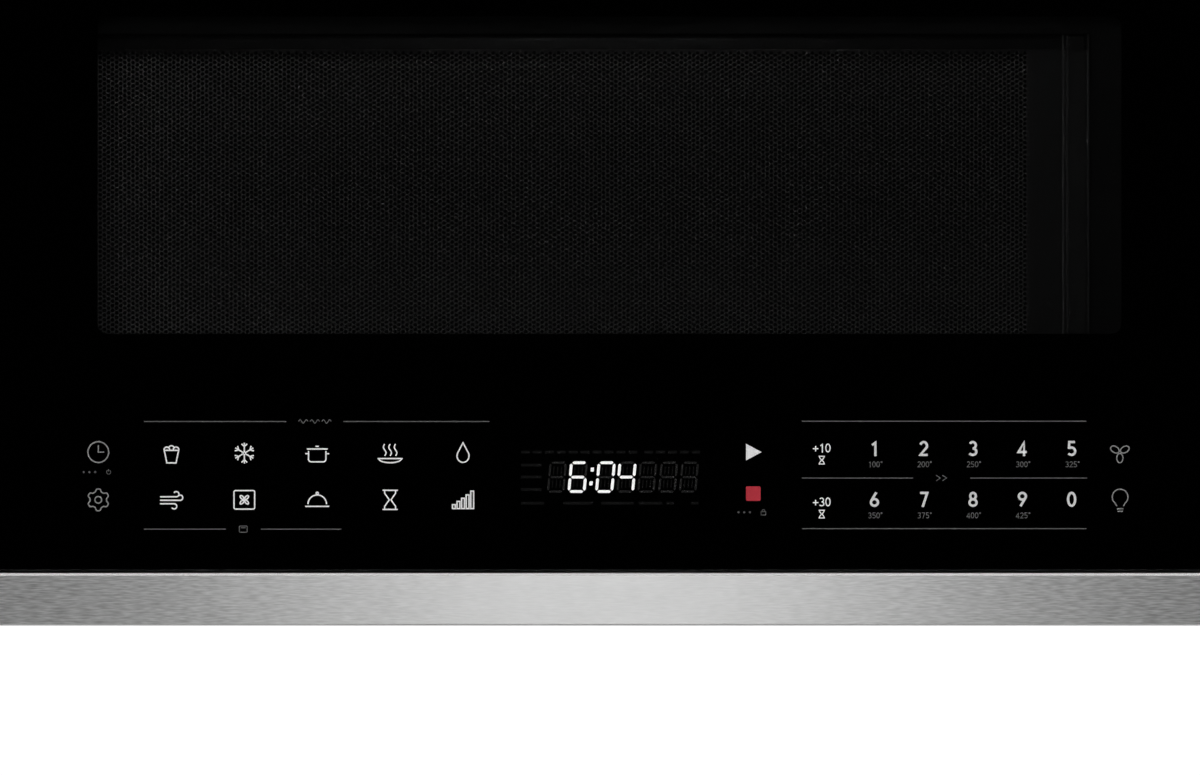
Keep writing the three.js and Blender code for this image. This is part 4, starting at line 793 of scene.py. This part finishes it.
def blown_air():
    def curl(z, x, up):
        return [(-1.05, z), (x, z)] + circle((x, z + 0.24 * up), 0.24, 10, -90 * up, 150 * up)
    return [curl(0.28, 0.45, 1), curl(-0.04, 0.8, 1), curl(-0.36, 0.25, -1)]


def fan_in_box():
    blade = circle((0.3, 0), (0.22, 0.12), 12)
    blades = [closed(rotated(blade, TURN * (i + 0.5) / 4)) for i in range(4)]
    return [closed(rounded((-0.95, 0.95), (-0.85, 0.85), 0.15, 3)), *blades]


def covered_dish():
    knob = closed(circle((0, 0.6), 0.1, 8))
    return [circle((0, -0.4), (0.85, 0.85), 18, 0, 180), [(-1.1, -0.6), (1.1, -0.6)], knob]


def hourglass():
    left = [(-0.5, 0.85), (-0.5, 0.6), (-0.08, 0.0), (-0.5, -0.6), (-0.5, -0.85)]
    right = [(-x, z) for x, z in left]
    return [left, right, [(-0.7, 0.88), (0.7, 0.88)], [(-0.7, -0.88), (0.7, -0.88)]]


def rising_bars():
    half, foot = 0.13, -0.8
    tops = ((-0.84, -0.45), (-0.42, -0.15), (0, 0.15), (0.42, 0.45), (0.84, 0.8))
    return [closed([(x - half, foot), (x + half, foot), (x + half, top), (x - half, top)]) for x, top in tops]


def gear():
    """Six rounded teeth round a hub, from one wavy radius."""
    rim = []
    for i in range(72):
        angle = TURN * i / 72
        radius = 0.86 + 0.12 * math.tanh(2.2 * math.cos(6 * angle))
        rim.append((radius * math.cos(angle), radius * math.sin(angle)))
    return [closed(rotated(rim, TURN / 12)), closed(circle((0, 0), 0.3, 20))]


def three_blades():
    blade = circle((0.55, 0), (0.45, 0.3), 20)
    return [closed(rotated(blade, TURN * (i / 3 + 0.75))) for i in range(3)]


def bulb():
    glass = circle((0, 0.3), 0.62, 24, -52, 232)
    neck = [(-0.26, -0.42)] + glass[::-1] + [(0.26, -0.42)]
    return [neck, [(-0.26, -0.62), (0.26, -0.62)], [(-0.22, -0.82), (0.22, -0.82)]]


def padlock():
    body = closed([(-0.6, -0.7), (0.6, -0.7), (0.6, 0.15), (-0.6, 0.15)])
    return [body, [(-0.36, 0.15)] + circle((0, 0.35), 0.36, 10, 180, 0) + [(0.36, 0.15)]]


def power_mark():
    return [circle((0, 0), 0.62, 18, 120, 420), [(0, 0.15), (0, 0.85)]]


def small_box():
    return [closed(rounded((-1, 1), (-0.8, 0.8), 0.2, 3)), [(-0.6, 0.35), (0.6, 0.35)]]


# Places on the door's front, in millimetres right of the middle and up from the underside
GLASS = extent("door_glass")
TRIM = extent("door_trim")
INK_PLANE = GLASS[1][1] - 0.05
LEGEND_PLANE = GLASS[1][1] - 0.12
WINDOW = ((-193.7, 201.0), (113.2, 235.5))
DISPLAY = ((-30.6, 38.6), (45.9, 70.1))
SHELF_HEIGHT = 96.0  # between the window and the controls
UPPER_ROW = 67.2
LOWER_ROW = 49.2
FIRST_KEY = -165.2
KEY_PITCH = 28.1
ICON_HALF = 4.2
SIDE_ICON = -193.4
CLOCK_HEIGHT = 67.6
NUMBER_PITCH = 19.0
FIRST_NUMBER = 105.8
NUMBER_ROWS = ((69.0, "12345"), (49.4, "67890"))
DEGREE_ROWS = ((62.9, (100, 200, 250, 300, 325)), (43.2, (350, 375, 400, 425)))
TIME_COLUMN = FIRST_NUMBER - 20.3
TIME_KEYS = (("+10", 69.2), ("+30", 48.4))
START_KEY = (58.9, 67.6)
STOP_KEY = (59.1, 51.6)
RULES = (  # from one x to another at a height
    (-175.8, -120.9, 79.4), (-98.9, -42.7, 79.4), (-175.8, -144.2, 37.9), (-130.7, -99.7, 37.9),
    (77.8, 187.5, 79.5), (77.8, 120.7, 57.6), (142.7, 187.8, 57.6), (77.8, 187.5, 38.1),
)
ZIGZAG = (-109.9, 79.4)
ARROWS = (131.2, 57.6)
BOX_MARK = (-137.5, 37.9)
FAN_ICON = (200.4, 67.5)
BULB_ICON = (200.5, 48.8)

# Widths of strokes
FINE = 0.3
THIN = 0.36
LEGEND = 0.52
BOLD = 0.92


def ring_of_faces(sheet, outer, inner):
    """Faces between a rectangle and an outline with round corners inside it."""
    quarter = len(inner) // 4
    corners = [(outer[0][1], outer[1][1]), (outer[0][0], outer[1][1])]
    corners += [(outer[0][0], outer[1][0]), (outer[0][1], outer[1][0])]
    faces = []
    for i in range(len(inner)):
        j = (i + 1) % len(inner)
        a, b = i // quarter, j // quarter
        faces.append([a, 4 + i, 4 + j] if a == b else [a, 4 + i, 4 + j, b])
    sheet.put(corners + inner, faces)


def make_glass_print():
    """The black print on the back of the glass, with the window and the display left clear."""
    sheet = Print(INK_PLANE)
    inset = 0.9
    x = (GLASS[0][0] + inset, GLASS[0][1] - inset)
    z = (GLASS[2][0] + inset, GLASS[2][1] - inset)
    ring_of_faces(sheet, (x, (SHELF_HEIGHT, z[1])), rounded(*WINDOW, 4.0))
    sheet.strokes = 0  # both halves lie in one plane
    ring_of_faces(sheet, (x, (z[0], SHELF_HEIGHT)), rounded(*DISPLAY, 1.0))
    sheet.print_on_door("glass_print", ink("black_print", grey(0.0004), 0.0), "door_glass")


def make_white_legends():
    """The programmes' signs, the keys that add time, and start."""
    sheet = Print(LEGEND_PLANE)
    upper = [popping_cup, snowflake, covered_pot, steaming_plate, drop]
    lower = [blown_air, fan_in_box, covered_dish, hourglass, rising_bars]
    for row, symbols in ((UPPER_ROW, upper), (LOWER_ROW, lower)):
        for i, symbol in enumerate(symbols):
            sheet.marks((FIRST_KEY + i * KEY_PITCH, row), ICON_HALF, LEGEND, symbol())
    for text, z in TIME_KEYS:
        write_number(sheet, text, (TIME_COLUMN, z), height=3.6, width=0.44)
        sheet.marks((TIME_COLUMN, z - 4.7), 1.7, 0.4, hourglass())
    x, z = START_KEY
    sheet.area([(x - 2.6, z - 3.2), (x + 3.4, z), (x - 2.6, z + 3.2)])
    # The white print shines with painted light of its own
    sheet.print_on_door("key_legends_white", ink("white_print", grey(0.86), 0.62))


def make_number_keys():
    sheet = Print(LEGEND_PLANE)
    for row, numbers in NUMBER_ROWS:
        for i, number in enumerate(numbers):
            write_number(sheet, number, (FIRST_NUMBER + i * NUMBER_PITCH, row), height=5.9, width=BOLD)
    # The pale print shines with painted light of its own
    sheet.print_on_door("number_keys", ink("pale_print", grey(0.78), 0.5))


def make_grey_legends():
    """The rules and the small marks on and between them, and the degrees under the number keys."""
    sheet = Print(LEGEND_PLANE)
    for x0, x1, z in RULES:
        sheet.line([(x0, z), (x1, z)], THIN)
    for offset in (-4.5, 0, 4.5):
        middle = ZIGZAG[0] + offset
        sheet.line(wave(middle - 1.8, middle + 1.8, ZIGZAG[1], 0.7), FINE)
    sheet.marks(BOX_MARK, 1.5, FINE, small_box())
    for offset in (-1.6, 0.8):
        x, z = ARROWS[0] + offset, ARROWS[1]
        sheet.line([(x, z + 1.1), (x + 1.6, z), (x, z - 1.1)], FINE)
    for row, degrees in DEGREE_ROWS:
        for i, number in enumerate(degrees):
            x = FIRST_NUMBER + i * NUMBER_PITCH + 0.6
            write_number(sheet, f"{number}°", (x, row), height=2.4, width=0.26)
    # The grey print shines with painted light of its own
    sheet.print_on_door("rules_and_small_marks", ink("grey_print", grey(0.2), 0.25))


def make_side_icons():
    """A clock and a gear at the left, a fan and a bulb at the right."""
    sheet = Print(LEGEND_PLANE)
    x, z = SIDE_ICON, CLOCK_HEIGHT
    sheet.line(circle((x, z), 4.0, 36), 0.5, is_loop=True)
    sheet.line([(x, z + 2.7), (x, z), (x + 2.3, z)], 0.45)
    sheet.marks((SIDE_ICON, LOWER_ROW), 4.3, 0.5, gear())
    sheet.marks(FAN_ICON, 4.0, 0.45, three_blades())
    sheet.marks(BULB_ICON, 4.9, 0.45, bulb())
    # The soft grey print shines with painted light of its own
    sheet.print_on_door("side_icons", ink("soft_grey_print", grey(0.36), 0.28))


def make_hold_marks():
    """Three dots and a sign: hold for three seconds to switch the clock, or to lock."""
    sheet = Print(LEGEND_PLANE)
    for x, z, sign, half in ((SIDE_ICON, 59.9, power_mark(), 1.3), (59.0, 44.4, padlock(), 1.5)):
        for i in range(3):
            sheet.area(circle((x - 5.6 + 2.2 * i, z), 0.42, 16))
        sheet.marks((x + 4.0, z), half, 0.28, sign)
    # The dim grey print shines with painted light of its own
    sheet.print_on_door("hold_marks", ink("dim_grey_print", grey(0.16), 0.25))


def make_stop_legend():
    sheet = Print(LEGEND_PLANE)
    (x, z), half = STOP_KEY, 2.8
    sheet.area(rounded((x - half, x + half), (z - half, z + half), 0.5, 3))
    # The red print shines with painted light of its own
    sheet.print_on_door("stop_legend", ink("red_print", (0.58, 0.05, 0.07), 0.45))


# -------- display

MODULE = extent("display_module")
DIGIT_WIDTH = 5.9
DIGIT_HEIGHT = 11.1
LIT_BAR = 1.05
UNLIT_BAR = 0.85
DIGIT_PITCH = 8.05
FIRST_DIGIT = -16.6
DIGIT_PLACES = 7
COLON_GAP = 2.6
COLON_HALF = (0.6, 0.75)
DISPLAY_MIDDLE = 57.95
SLANT = math.tan(math.radians(5.2))
SHOWN = {1: "acdefg", 2: "abcdef", 3: "bcfg"}  # which bars of which place are lit


def digit_centre(index):
    return FIRST_DIGIT + index * DIGIT_PITCH + (COLON_GAP if index > 1 else 0)


def slanted(centre, x, z):
    return (centre + x + z * SLANT, DISPLAY_MIDDLE + z)


def bar(centre, a, b, width, gap=0.35):
    """A display bar from a to b with pointed ends."""
    along = Vector((b[0] - a[0], b[1] - a[1])).normalized()
    side = Vector((-along.y, along.x)) * width / 2
    tip = along * width / 2
    start, end = Vector(a) + along * gap, Vector(b) - along * gap
    ring = [start, start + tip + side, end - tip + side, end, end - tip - side, start + tip - side]
    return [slanted(centre, p.x, p.y) for p in ring]


def digit_bars():
    """The two ends of each of a digit's seven bars."""
    w, h = DIGIT_WIDTH / 2, DIGIT_HEIGHT / 2
    return {
        "a": ((-w, h), (w, h)), "b": ((w, h), (w, 0)), "c": ((w, 0), (w, -h)), "d": ((-w, -h), (w, -h)),
        "e": ((-w, -h), (-w, 0)), "f": ((-w, 0), (-w, h)), "g": ((-w, 0), (w, 0)),
    }


def signs_row():
    """Unlit signal bars round the digits: a row above, three at the left and a row below."""
    above, below, left = 67.6, 47.9, -30.5
    pitch, length = 4.6, 3.5
    starts = [first + pitch * i for first, count in ((left, 10), (17.0, 5)) for i in range(count)]
    rows = [(x, x + length, above) for x in starts]
    rows += [(left, left + 8, z) for z in (62.6, 58.0, 53.2)]
    lengths = ((left, 9), (-14, 11), (0.5, 12.5), (15, 9), (25.5, 3), (35, 3))
    return rows + [(x, x + w, below) for x, w in lengths]


def make_display():
    """The clock's lit digits, the unlit bars of all the digits and the faint signs among and round them."""
    plane = MODULE[1][0] - 0.02
    lit, unlit, faint = Print(plane), Print(plane), Print(plane)
    inner, outer = 0.9, DIGIT_HEIGHT / 2 - 1.3
    for index in range(DIGIT_PLACES):
        centre = digit_centre(index)
        for name, (a, b) in digit_bars().items():
            if name in SHOWN.get(index, ""):
                lit.area(bar(centre, a, b, LIT_BAR))
            else:
                unlit.area(bar(centre, a, b, UNLIT_BAR))
        for z0, z1 in ((inner, outer), (-outer, -inner)):
            for x in (-1.45, 0.0, 1.45):
                faint.area(bar(centre, (x, z0), (x, z1), width=0.5, gap=0.0))
    colon = (digit_centre(1) + digit_centre(2)) / 2
    w, h = COLON_HALF
    for z in (2.9, -2.4):
        corners = [(-w, z - h), (w, z - h), (w, z + h), (-w, z + h)]
        lit.area([slanted(colon, *p) for p in corners])
    for x0, x1, z in signs_row():
        faint.line([(x0, z), (x1, z)], 1.1)
    lit.print_on_door("display_bars_lit", ink("lit_bars", grey(1.0), 1.25), "display_face")
    # The unlit and faint bars shine with painted light; only the lit bars are a lamp
    unlit.print_on_door("display_bars_unlit", ink("unlit_bars", grey(0.03), 0.35), "display_face")
    faint.print_on_door("display_bars_faint", ink("faint_bars", grey(0.012), 0.4), "display_face")


# -------- perforated screen

SCREEN = extent("door_screen")
HOLE_PITCH = 1.825  # holes are this far apart up each column
COLUMN_PITCH = HOLE_PITCH * math.sqrt(3) / 2
HOLE_RADIUS = 0.7
HOLE_SIDES = 8
FIELD = ((-197.0, 164.8), (109.5, 222.0))  # where the holes are: across, and up from the base
PLATE = (  # the flat of the plate, inside its bent edges
    (SCREEN[0][0] + 5.8, SCREEN[0][1] - 5.8),
    (SCREEN[2][0] + 3.8, SCREEN[2][1] - 3.8),
)
EDGE_BEND = 2.3
RIB = 179.7  # the middle of the pressed rib beside the holes
RIB_HALF_WIDTH = 1.3
RIB_HEIGHT = 0.9
# The paint's darkest and palest colours; between them lie wear and painted light, highlight and shade
DARKEST_PAINT = grey(0.0025)
PALEST_PAINT = grey(0.058)
# Painted highlights on the rib's shoulders and on the plate's right bend, and a paler band beside the rib
PALER_LINES = (  # the middle, half width and paleness of each
    (RIB - 0.85, 0.35, 0.3), (RIB + 0.85, 0.35, 0.18), (RIB + 4.3, 3.0, 0.026),
    (PLATE[0][1] + 1.5, 0.35, 0.3),
)

# A hole's faces: 0 to 3 are its cell's corners, clockwise from the upper right, and 4 to 11 its rim,
# the other way round
SCREEN_CELL = [
    [0, 4, 11], [0, 11, 10, 1], [1, 10, 9], [1, 9, 8, 2], [2, 8, 7], [2, 7, 6, 3], [3, 6, 5], [3, 5, 4, 0],
]


def punch_field(sheet, front):
    """Columns of round holes, each column half a pitch above the last, in the middle of a plain border."""
    (left, right), (low, high) = FIELD
    columns = round((right - left) / COLUMN_PITCH)
    rows = round((high - low) / HOLE_PITCH)
    right, high = left + columns * COLUMN_PITCH, low + rows * HOLE_PITCH
    angles = [TURN * (k + 0.5) / HOLE_SIDES for k in range(HOLE_SIDES)]
    hole = [(HOLE_RADIUS * math.cos(a), HOLE_RADIUS * math.sin(a)) for a in angles]
    w, h = COLUMN_PITCH / 2, HOLE_PITCH / 2
    for i in range(columns):
        x = left + (i + 0.5) * COLUMN_PITCH
        is_odd = i % 2
        for j in range(rows - is_odd):
            z = low + is_odd * h + (j + 0.5) * HOLE_PITCH
            flat = [(x + w, z + h), (x + w, z - h), (x - w, z - h), (x - w, z + h)]
            flat += [(x + u, z + v) for u, v in hole]
            sheet.add([(u, front, v) for u, v in flat], SCREEN_CELL)
        if is_odd:
            for half in ((low, low + h), (high - h, high)):
                sheet.panel((x - w, x + w), half, front)
    across, up = PLATE
    for x in ((across[0], left), (right, across[1])):
        sheet.panel(x, up, front)
    for z in ((up[0], low), (high, up[1])):
        sheet.panel((left, right), z, front)


def bend_edges(sheet, front, back):
    """The plate's four edges, bent back round a quarter circle and straight on."""
    x, z = PLATE
    quarter, steps = math.pi / 2, 4
    loops = []
    for k in range(steps + 1):
        angle = quarter * k / steps
        loops.append((EDGE_BEND * math.sin(angle), front + EDGE_BEND * (1 - math.cos(angle))))
    loops.append((EDGE_BEND, back))
    points, faces = [], []
    for out, y in loops:
        points += [(x[0] - out, y, z[0] - out), (x[1] + out, y, z[0] - out)]
        points += [(x[1] + out, y, z[1] + out), (x[0] - out, y, z[1] + out)]
    for k in range(len(loops) - 1):
        for c in range(4):
            d = (c + 1) % 4
            faces.append([4 * k + c, 4 * k + d, 4 * k + 4 + d, 4 * k + 4 + c])
    sheet.add(points, faces)


def press_rib(sheet, front):
    """An upright half round beside the holes, a little short of the plate's edges."""
    margin, steps = 2, 8
    low, high = PLATE[1][0] + margin, PLATE[1][1] - margin
    turns = [math.pi * k / steps for k in range(steps + 1)]
    ridge = [(RIB + RIB_HALF_WIDTH * math.cos(a), front - RIB_HEIGHT * math.sin(a)) for a in turns]
    points = [(u, y, v) for v in (low, high) for u, y in ridge]
    other = len(ridge)
    sheet.add(points, [[k, k + 1, k + 1 + other, k + other] for k in range(steps)])


def make_door_screen():
    """The pressed plate with its round holes, its rib and its lip, in thin black painted steel."""
    sheet = Solid()
    front, back = SCREEN[1]
    punch_field(sheet, front)
    bend_edges(sheet, front, back)
    press_rib(sheet, front)
    sheet.make("perforated_screen", "door", "screen_paint", perforated_paint_and_painted_light(), stands_for=("door_screen",))


# -------- turntable tray

TRAY = extent("turntable_tray")


def make_tray():
    """Clear moulded glass with a raised rim and shallow rings under it."""
    centre = ((TRAY[0][0] + TRAY[0][1]) / 2, (TRAY[1][0] + TRAY[1][1]) / 2)
    radius = (TRAY[0][1] - TRAY[0][0]) / 2
    low, high = TRAY[2]
    thick, pocket, pocket_radius, axis = 5.0, 2.5, 23.2, 0.01
    top = [(axis, low + thick), (radius - 16, low + thick)]
    top += [(radius - 13 + 3.2 * k / 4, low + thick + 0.4 * (k / 4) ** 2) for k in range(5)]
    rim = [(radius - 3.4, high - 0.6), (radius - 2.4, high), (radius - 0.8, high), (radius, high - 0.9)]
    under = [(radius - 1.6, high - 3.2), (radius - 11.5, low + 0.5), (radius - 13.5, low)]
    rings = []
    for r in (132, 116, 74, 56, 40):
        rings += [(r + 1.2, low), (r + 0.5, low + 0.35), (r - 0.5, low + 0.35), (r - 1.2, low)]
    middle = [(pocket_radius, low), (pocket_radius, low + pocket), (axis, low + pocket)]
    glass = Solid()
    glass.turned(top + rim + under + rings + middle, Matrix.Translation((*centre, 0)), 128)
    glass.make("glass_tray", "tray", "clear_glass", stands_for=("turntable_tray",))


# -------- filter mesh

WEAVES = ((7.0, 2.6, 0.5), (5.0, 2.0, 0.42))  # cell width, row pitch and strand width of each layer


def make_filter_mesh(node_name, body):
    """Two layers of expanded aluminium behind the filter's frame."""
    (x0, x1), (y0, y1), (z0, z1) = extent(node_name)
    rim, tuck = 8.0, 0.5
    x0, x1, y0, y1 = x0 + rim - tuck, x1 - rim + tuck, y0 + rim - tuck, y1 - rim
    lowest, layer_gap, twist = (z0 + z1) / 2 - 2.1, 0.45, 0.25
    weave = Solid()
    for layer, (cell, row, strand) in enumerate(WEAVES):
        z = lowest + layer_gap * layer
        across = int((x1 - x0) / (cell / 2))
        for j in range(int((y1 - y0) / row)):
            y = y0 + (j + 0.5) * row
            flip = 1 if j % 2 else -1
            points = []
            for i in range(across + 1):
                x = x0 + i * cell / 2
                sway = flip * (row / 2 - strand / 2) * (1 if i % 2 else -1)
                points += [(x, y + sway - strand / 2, z), (x, y + sway + strand / 2, z + twist)]
            weave.add(points, [[2 * i, 2 * i + 1, 2 * i + 3, 2 * i + 2] for i in range(across)])
    weave.make(f"mesh_of_{node_name}", body, "filter_aluminium")


# -------- screws

SCREW_WASHER = 4.6
SCREW_HEAD = 3.4
SCREW_SINK = 0.02  # how far each screw is let into its face
SCREW_CREASE = 28  # degrees


def add_screw(solid, point, axis, height=2.4):
    """A hexagon washer-head screw on a face, pointing out along an axis."""
    turn = Vector((0, 0, 1)).rotation_difference(Vector(axis)).to_matrix().to_4x4()
    sunk = Vector(point) - SCREW_SINK * Vector(axis)
    matrix = Matrix.Translation(sunk) @ turn
    washer = [(SCREW_WASHER, 0.0), (SCREW_WASHER, 0.45), (SCREW_WASHER - 0.5, 0.8), (SCREW_HEAD, 0.8)]
    solid.turned(washer, matrix, 20)
    head = [(SCREW_HEAD, 0.6), (SCREW_HEAD, height - 0.4), (SCREW_HEAD - 0.5, height)]
    head += [(1.6, height), (1.3, height - 0.5), (0.01, height - 0.7)]
    solid.turned(head, matrix, 6)


def make_case_screws():
    """Rows of screws along the top panel's edges and up the back panel's."""
    top = extent("top_panel")
    wall = extent("back_panel")[1][1]
    up, out = (0, 0, 1), (0, 1, 0)
    column, shallow = 368, 1.8
    solid = Solid()
    for x in (-330, -110, 110, 330):
        add_screw(solid, (x, top[1][0] + 22, top[2][1]), up)
    for side in (-1, 1):
        for y in (-60, 60, 200):
            add_screw(solid, (side * column, y, top[2][1]), up)
        for z in (30, 130, 228):
            add_screw(solid, (side * column, wall, z), out, shallow)
    for x in (-250, 250):
        add_screw(solid, (x, wall, 250), out, shallow)
    solid.make("case_screws", "cabinet", "dark_steel", creased=SCREW_CREASE)


def make_base_screws():
    pan = extent("base_pan")
    solid = Solid()
    for x in (-340, -90, 90, 340):
        for y in (pan[1][0] + 90, pan[1][1] - 14):
            add_screw(solid, (x, y, pan[2][0]), (0, 0, -1))
    solid.make("base_screws", "cabinet", "dark_steel", creased=SCREW_CREASE)


make_glass_print()
make_white_legends()
make_number_keys()
make_grey_legends()
make_side_icons()
make_hold_marks()
make_stop_legend()
make_display()
make_door_screen()
make_tray()
make_filter_mesh("grease_filter_left", "left_filter")
make_filter_mesh("grease_filter_right", "right_filter")
make_case_screws()
make_base_screws()

# -------- studio

FLOOR_DROP = 240.0  # the oven hangs over the floor, with room for its filters to swing down
FLOOR_RADIUS = 3200.0
FLOOR_FADE = (1400.0, 3000.0)  # how far from the middle it starts to fade and is gone
PICTURE_WIDTH = 462.0  # millimetres of the door's front that the picture is wide
CAMERA_DISTANCE = 3000.0
CAMERA_HEIGHT = 92.5
SKY_STRENGTH = 0.05
WHITE_STRENGTH = 1.1

# Name, place, target, width and height in metres, and power in watts
SOFTBOXES = [
    ("front_softbox", (0, -2.2, 0.62), (0, -0.23, 0.05), (0.25, 0.3), 5.1),
    ("top_softbox", (0, 0.3, 2.1), (0, 0, 0.1), (2.4, 1.2), 14.5),
    ("edge_softbox", (0, -0.65, 1.9), (0, -0.23, 0.02), (2.4, 0.35), 4.3),
    ("left_softbox", (-1.8, -1.6, 0.6), (0, -0.1, 0.1), (0.5, 1.3), 10.3),
    ("right_softbox", (1.8, -1.6, 0.6), (0, -0.1, 0.1), (0.5, 1.3), 10.3),
    ("rear_softbox", (0.3, 2.0, 1.1), (0, 0.2, 0.1), (1.2, 0.9), 18),
    ("flank_softbox", (-2.2, 0.4, 0.9), (0, 0, 0.1), (0.5, 1.2), 6),
    ("flank_softbox", (2.2, 0.4, 0.9), (0, 0, 0.1), (0.5, 1.2), 6),
]


def make_camera():
    data = bpy.data.cameras.new("camera")
    data.sensor_width = 36.0
    data.lens = data.sensor_width * CAMERA_DISTANCE / PICTURE_WIDTH
    data.clip_end = 100
    camera = add_object("camera", data)
    camera.location = Vector((0, TRIM[1][0] - CAMERA_DISTANCE, CAMERA_HEIGHT)) * MM
    camera.rotation_euler = (math.pi / 2, 0, 0)
    bpy.context.scene.camera = camera


def make_floor():
    """A plain pale disc that fades into the white round it, and isn't there from below."""
    outline = circle((0, 0), FLOOR_RADIUS, 96)
    points = [(x * MM, y * MM, -FLOOR_DROP * MM) for x, y in outline]
    mesh = bpy.data.meshes.new("floor")
    mesh.from_pydata(points, [], [list(range(len(points)))])
    made, shader = start_material("pale_floor", grey(0.86), 0.85)
    here = place(shader)
    tone = remap(noise(here, scale=2.0, detail=3.0), 0.3, 0.7)
    two_shades(shader, tone, grey(0.84), grey(0.88))
    away = node(shader, "VectorMath", {0: here}, operation="LENGTH").outputs["Value"]
    fade = remap(away, FLOOR_FADE[0] * MM, FLOOR_FADE[1] * MM)
    below = node(shader, "NewGeometry").outputs["Backfacing"]
    let_through(shader, math_node("MAXIMUM", fade, below))
    mesh.materials.append(made)
    floor = add_object("floor", mesh)


def add_softbox(name, position, target, size, power):
    data = bpy.data.lights.new(name, "AREA")
    data.shape = "RECTANGLE"
    data.size, data.size_y = size
    data.energy = power
    lamp = add_object(name, data)
    lamp.location = position
    lamp.rotation_euler = (Vector(target) - Vector(position)).to_track_quat("-Z", "Y").to_euler()
    lamp.visible_camera = False


def make_world():
    """White to the camera; to all else a soft sky that is dark in front of the door, like a black flag."""
    world = bpy.data.worlds.new("studio")
    bpy.context.scene.world = world
    world.use_nodes = True
    tree = world.node_tree
    direction = node(tree, "TexCoord").outputs["Generated"]
    frontward = times(channel("XYZ", direction, "Y"), -1.0)
    flag = remap(frontward, 0.75, 0.97, 1.0, 0.0)
    height = remap(channel("XYZ", direction, "Z"), -0.3, 0.9, 0.35, 1.0)
    sky = times(times(flag, height), SKY_STRENGTH)
    seen = node(tree, "LightPath").outputs["Is Camera Ray"]
    strength = node(tree, "Mix", {"Factor": seen, "A": sky, "B": WHITE_STRENGTH})
    background = tree.nodes["Background"]
    background.inputs["Color"].default_value = (1, 1, 1, 1)
    fill(background.inputs["Strength"], strength.outputs["Result"])


make_camera()
make_floor()
make_world()
for softbox in SOFTBOXES:
    add_softbox(*softbox)

bpy.context.scene.view_settings.view_transform = "Standard"
bpy.context.scene.view_settings.look = "None"
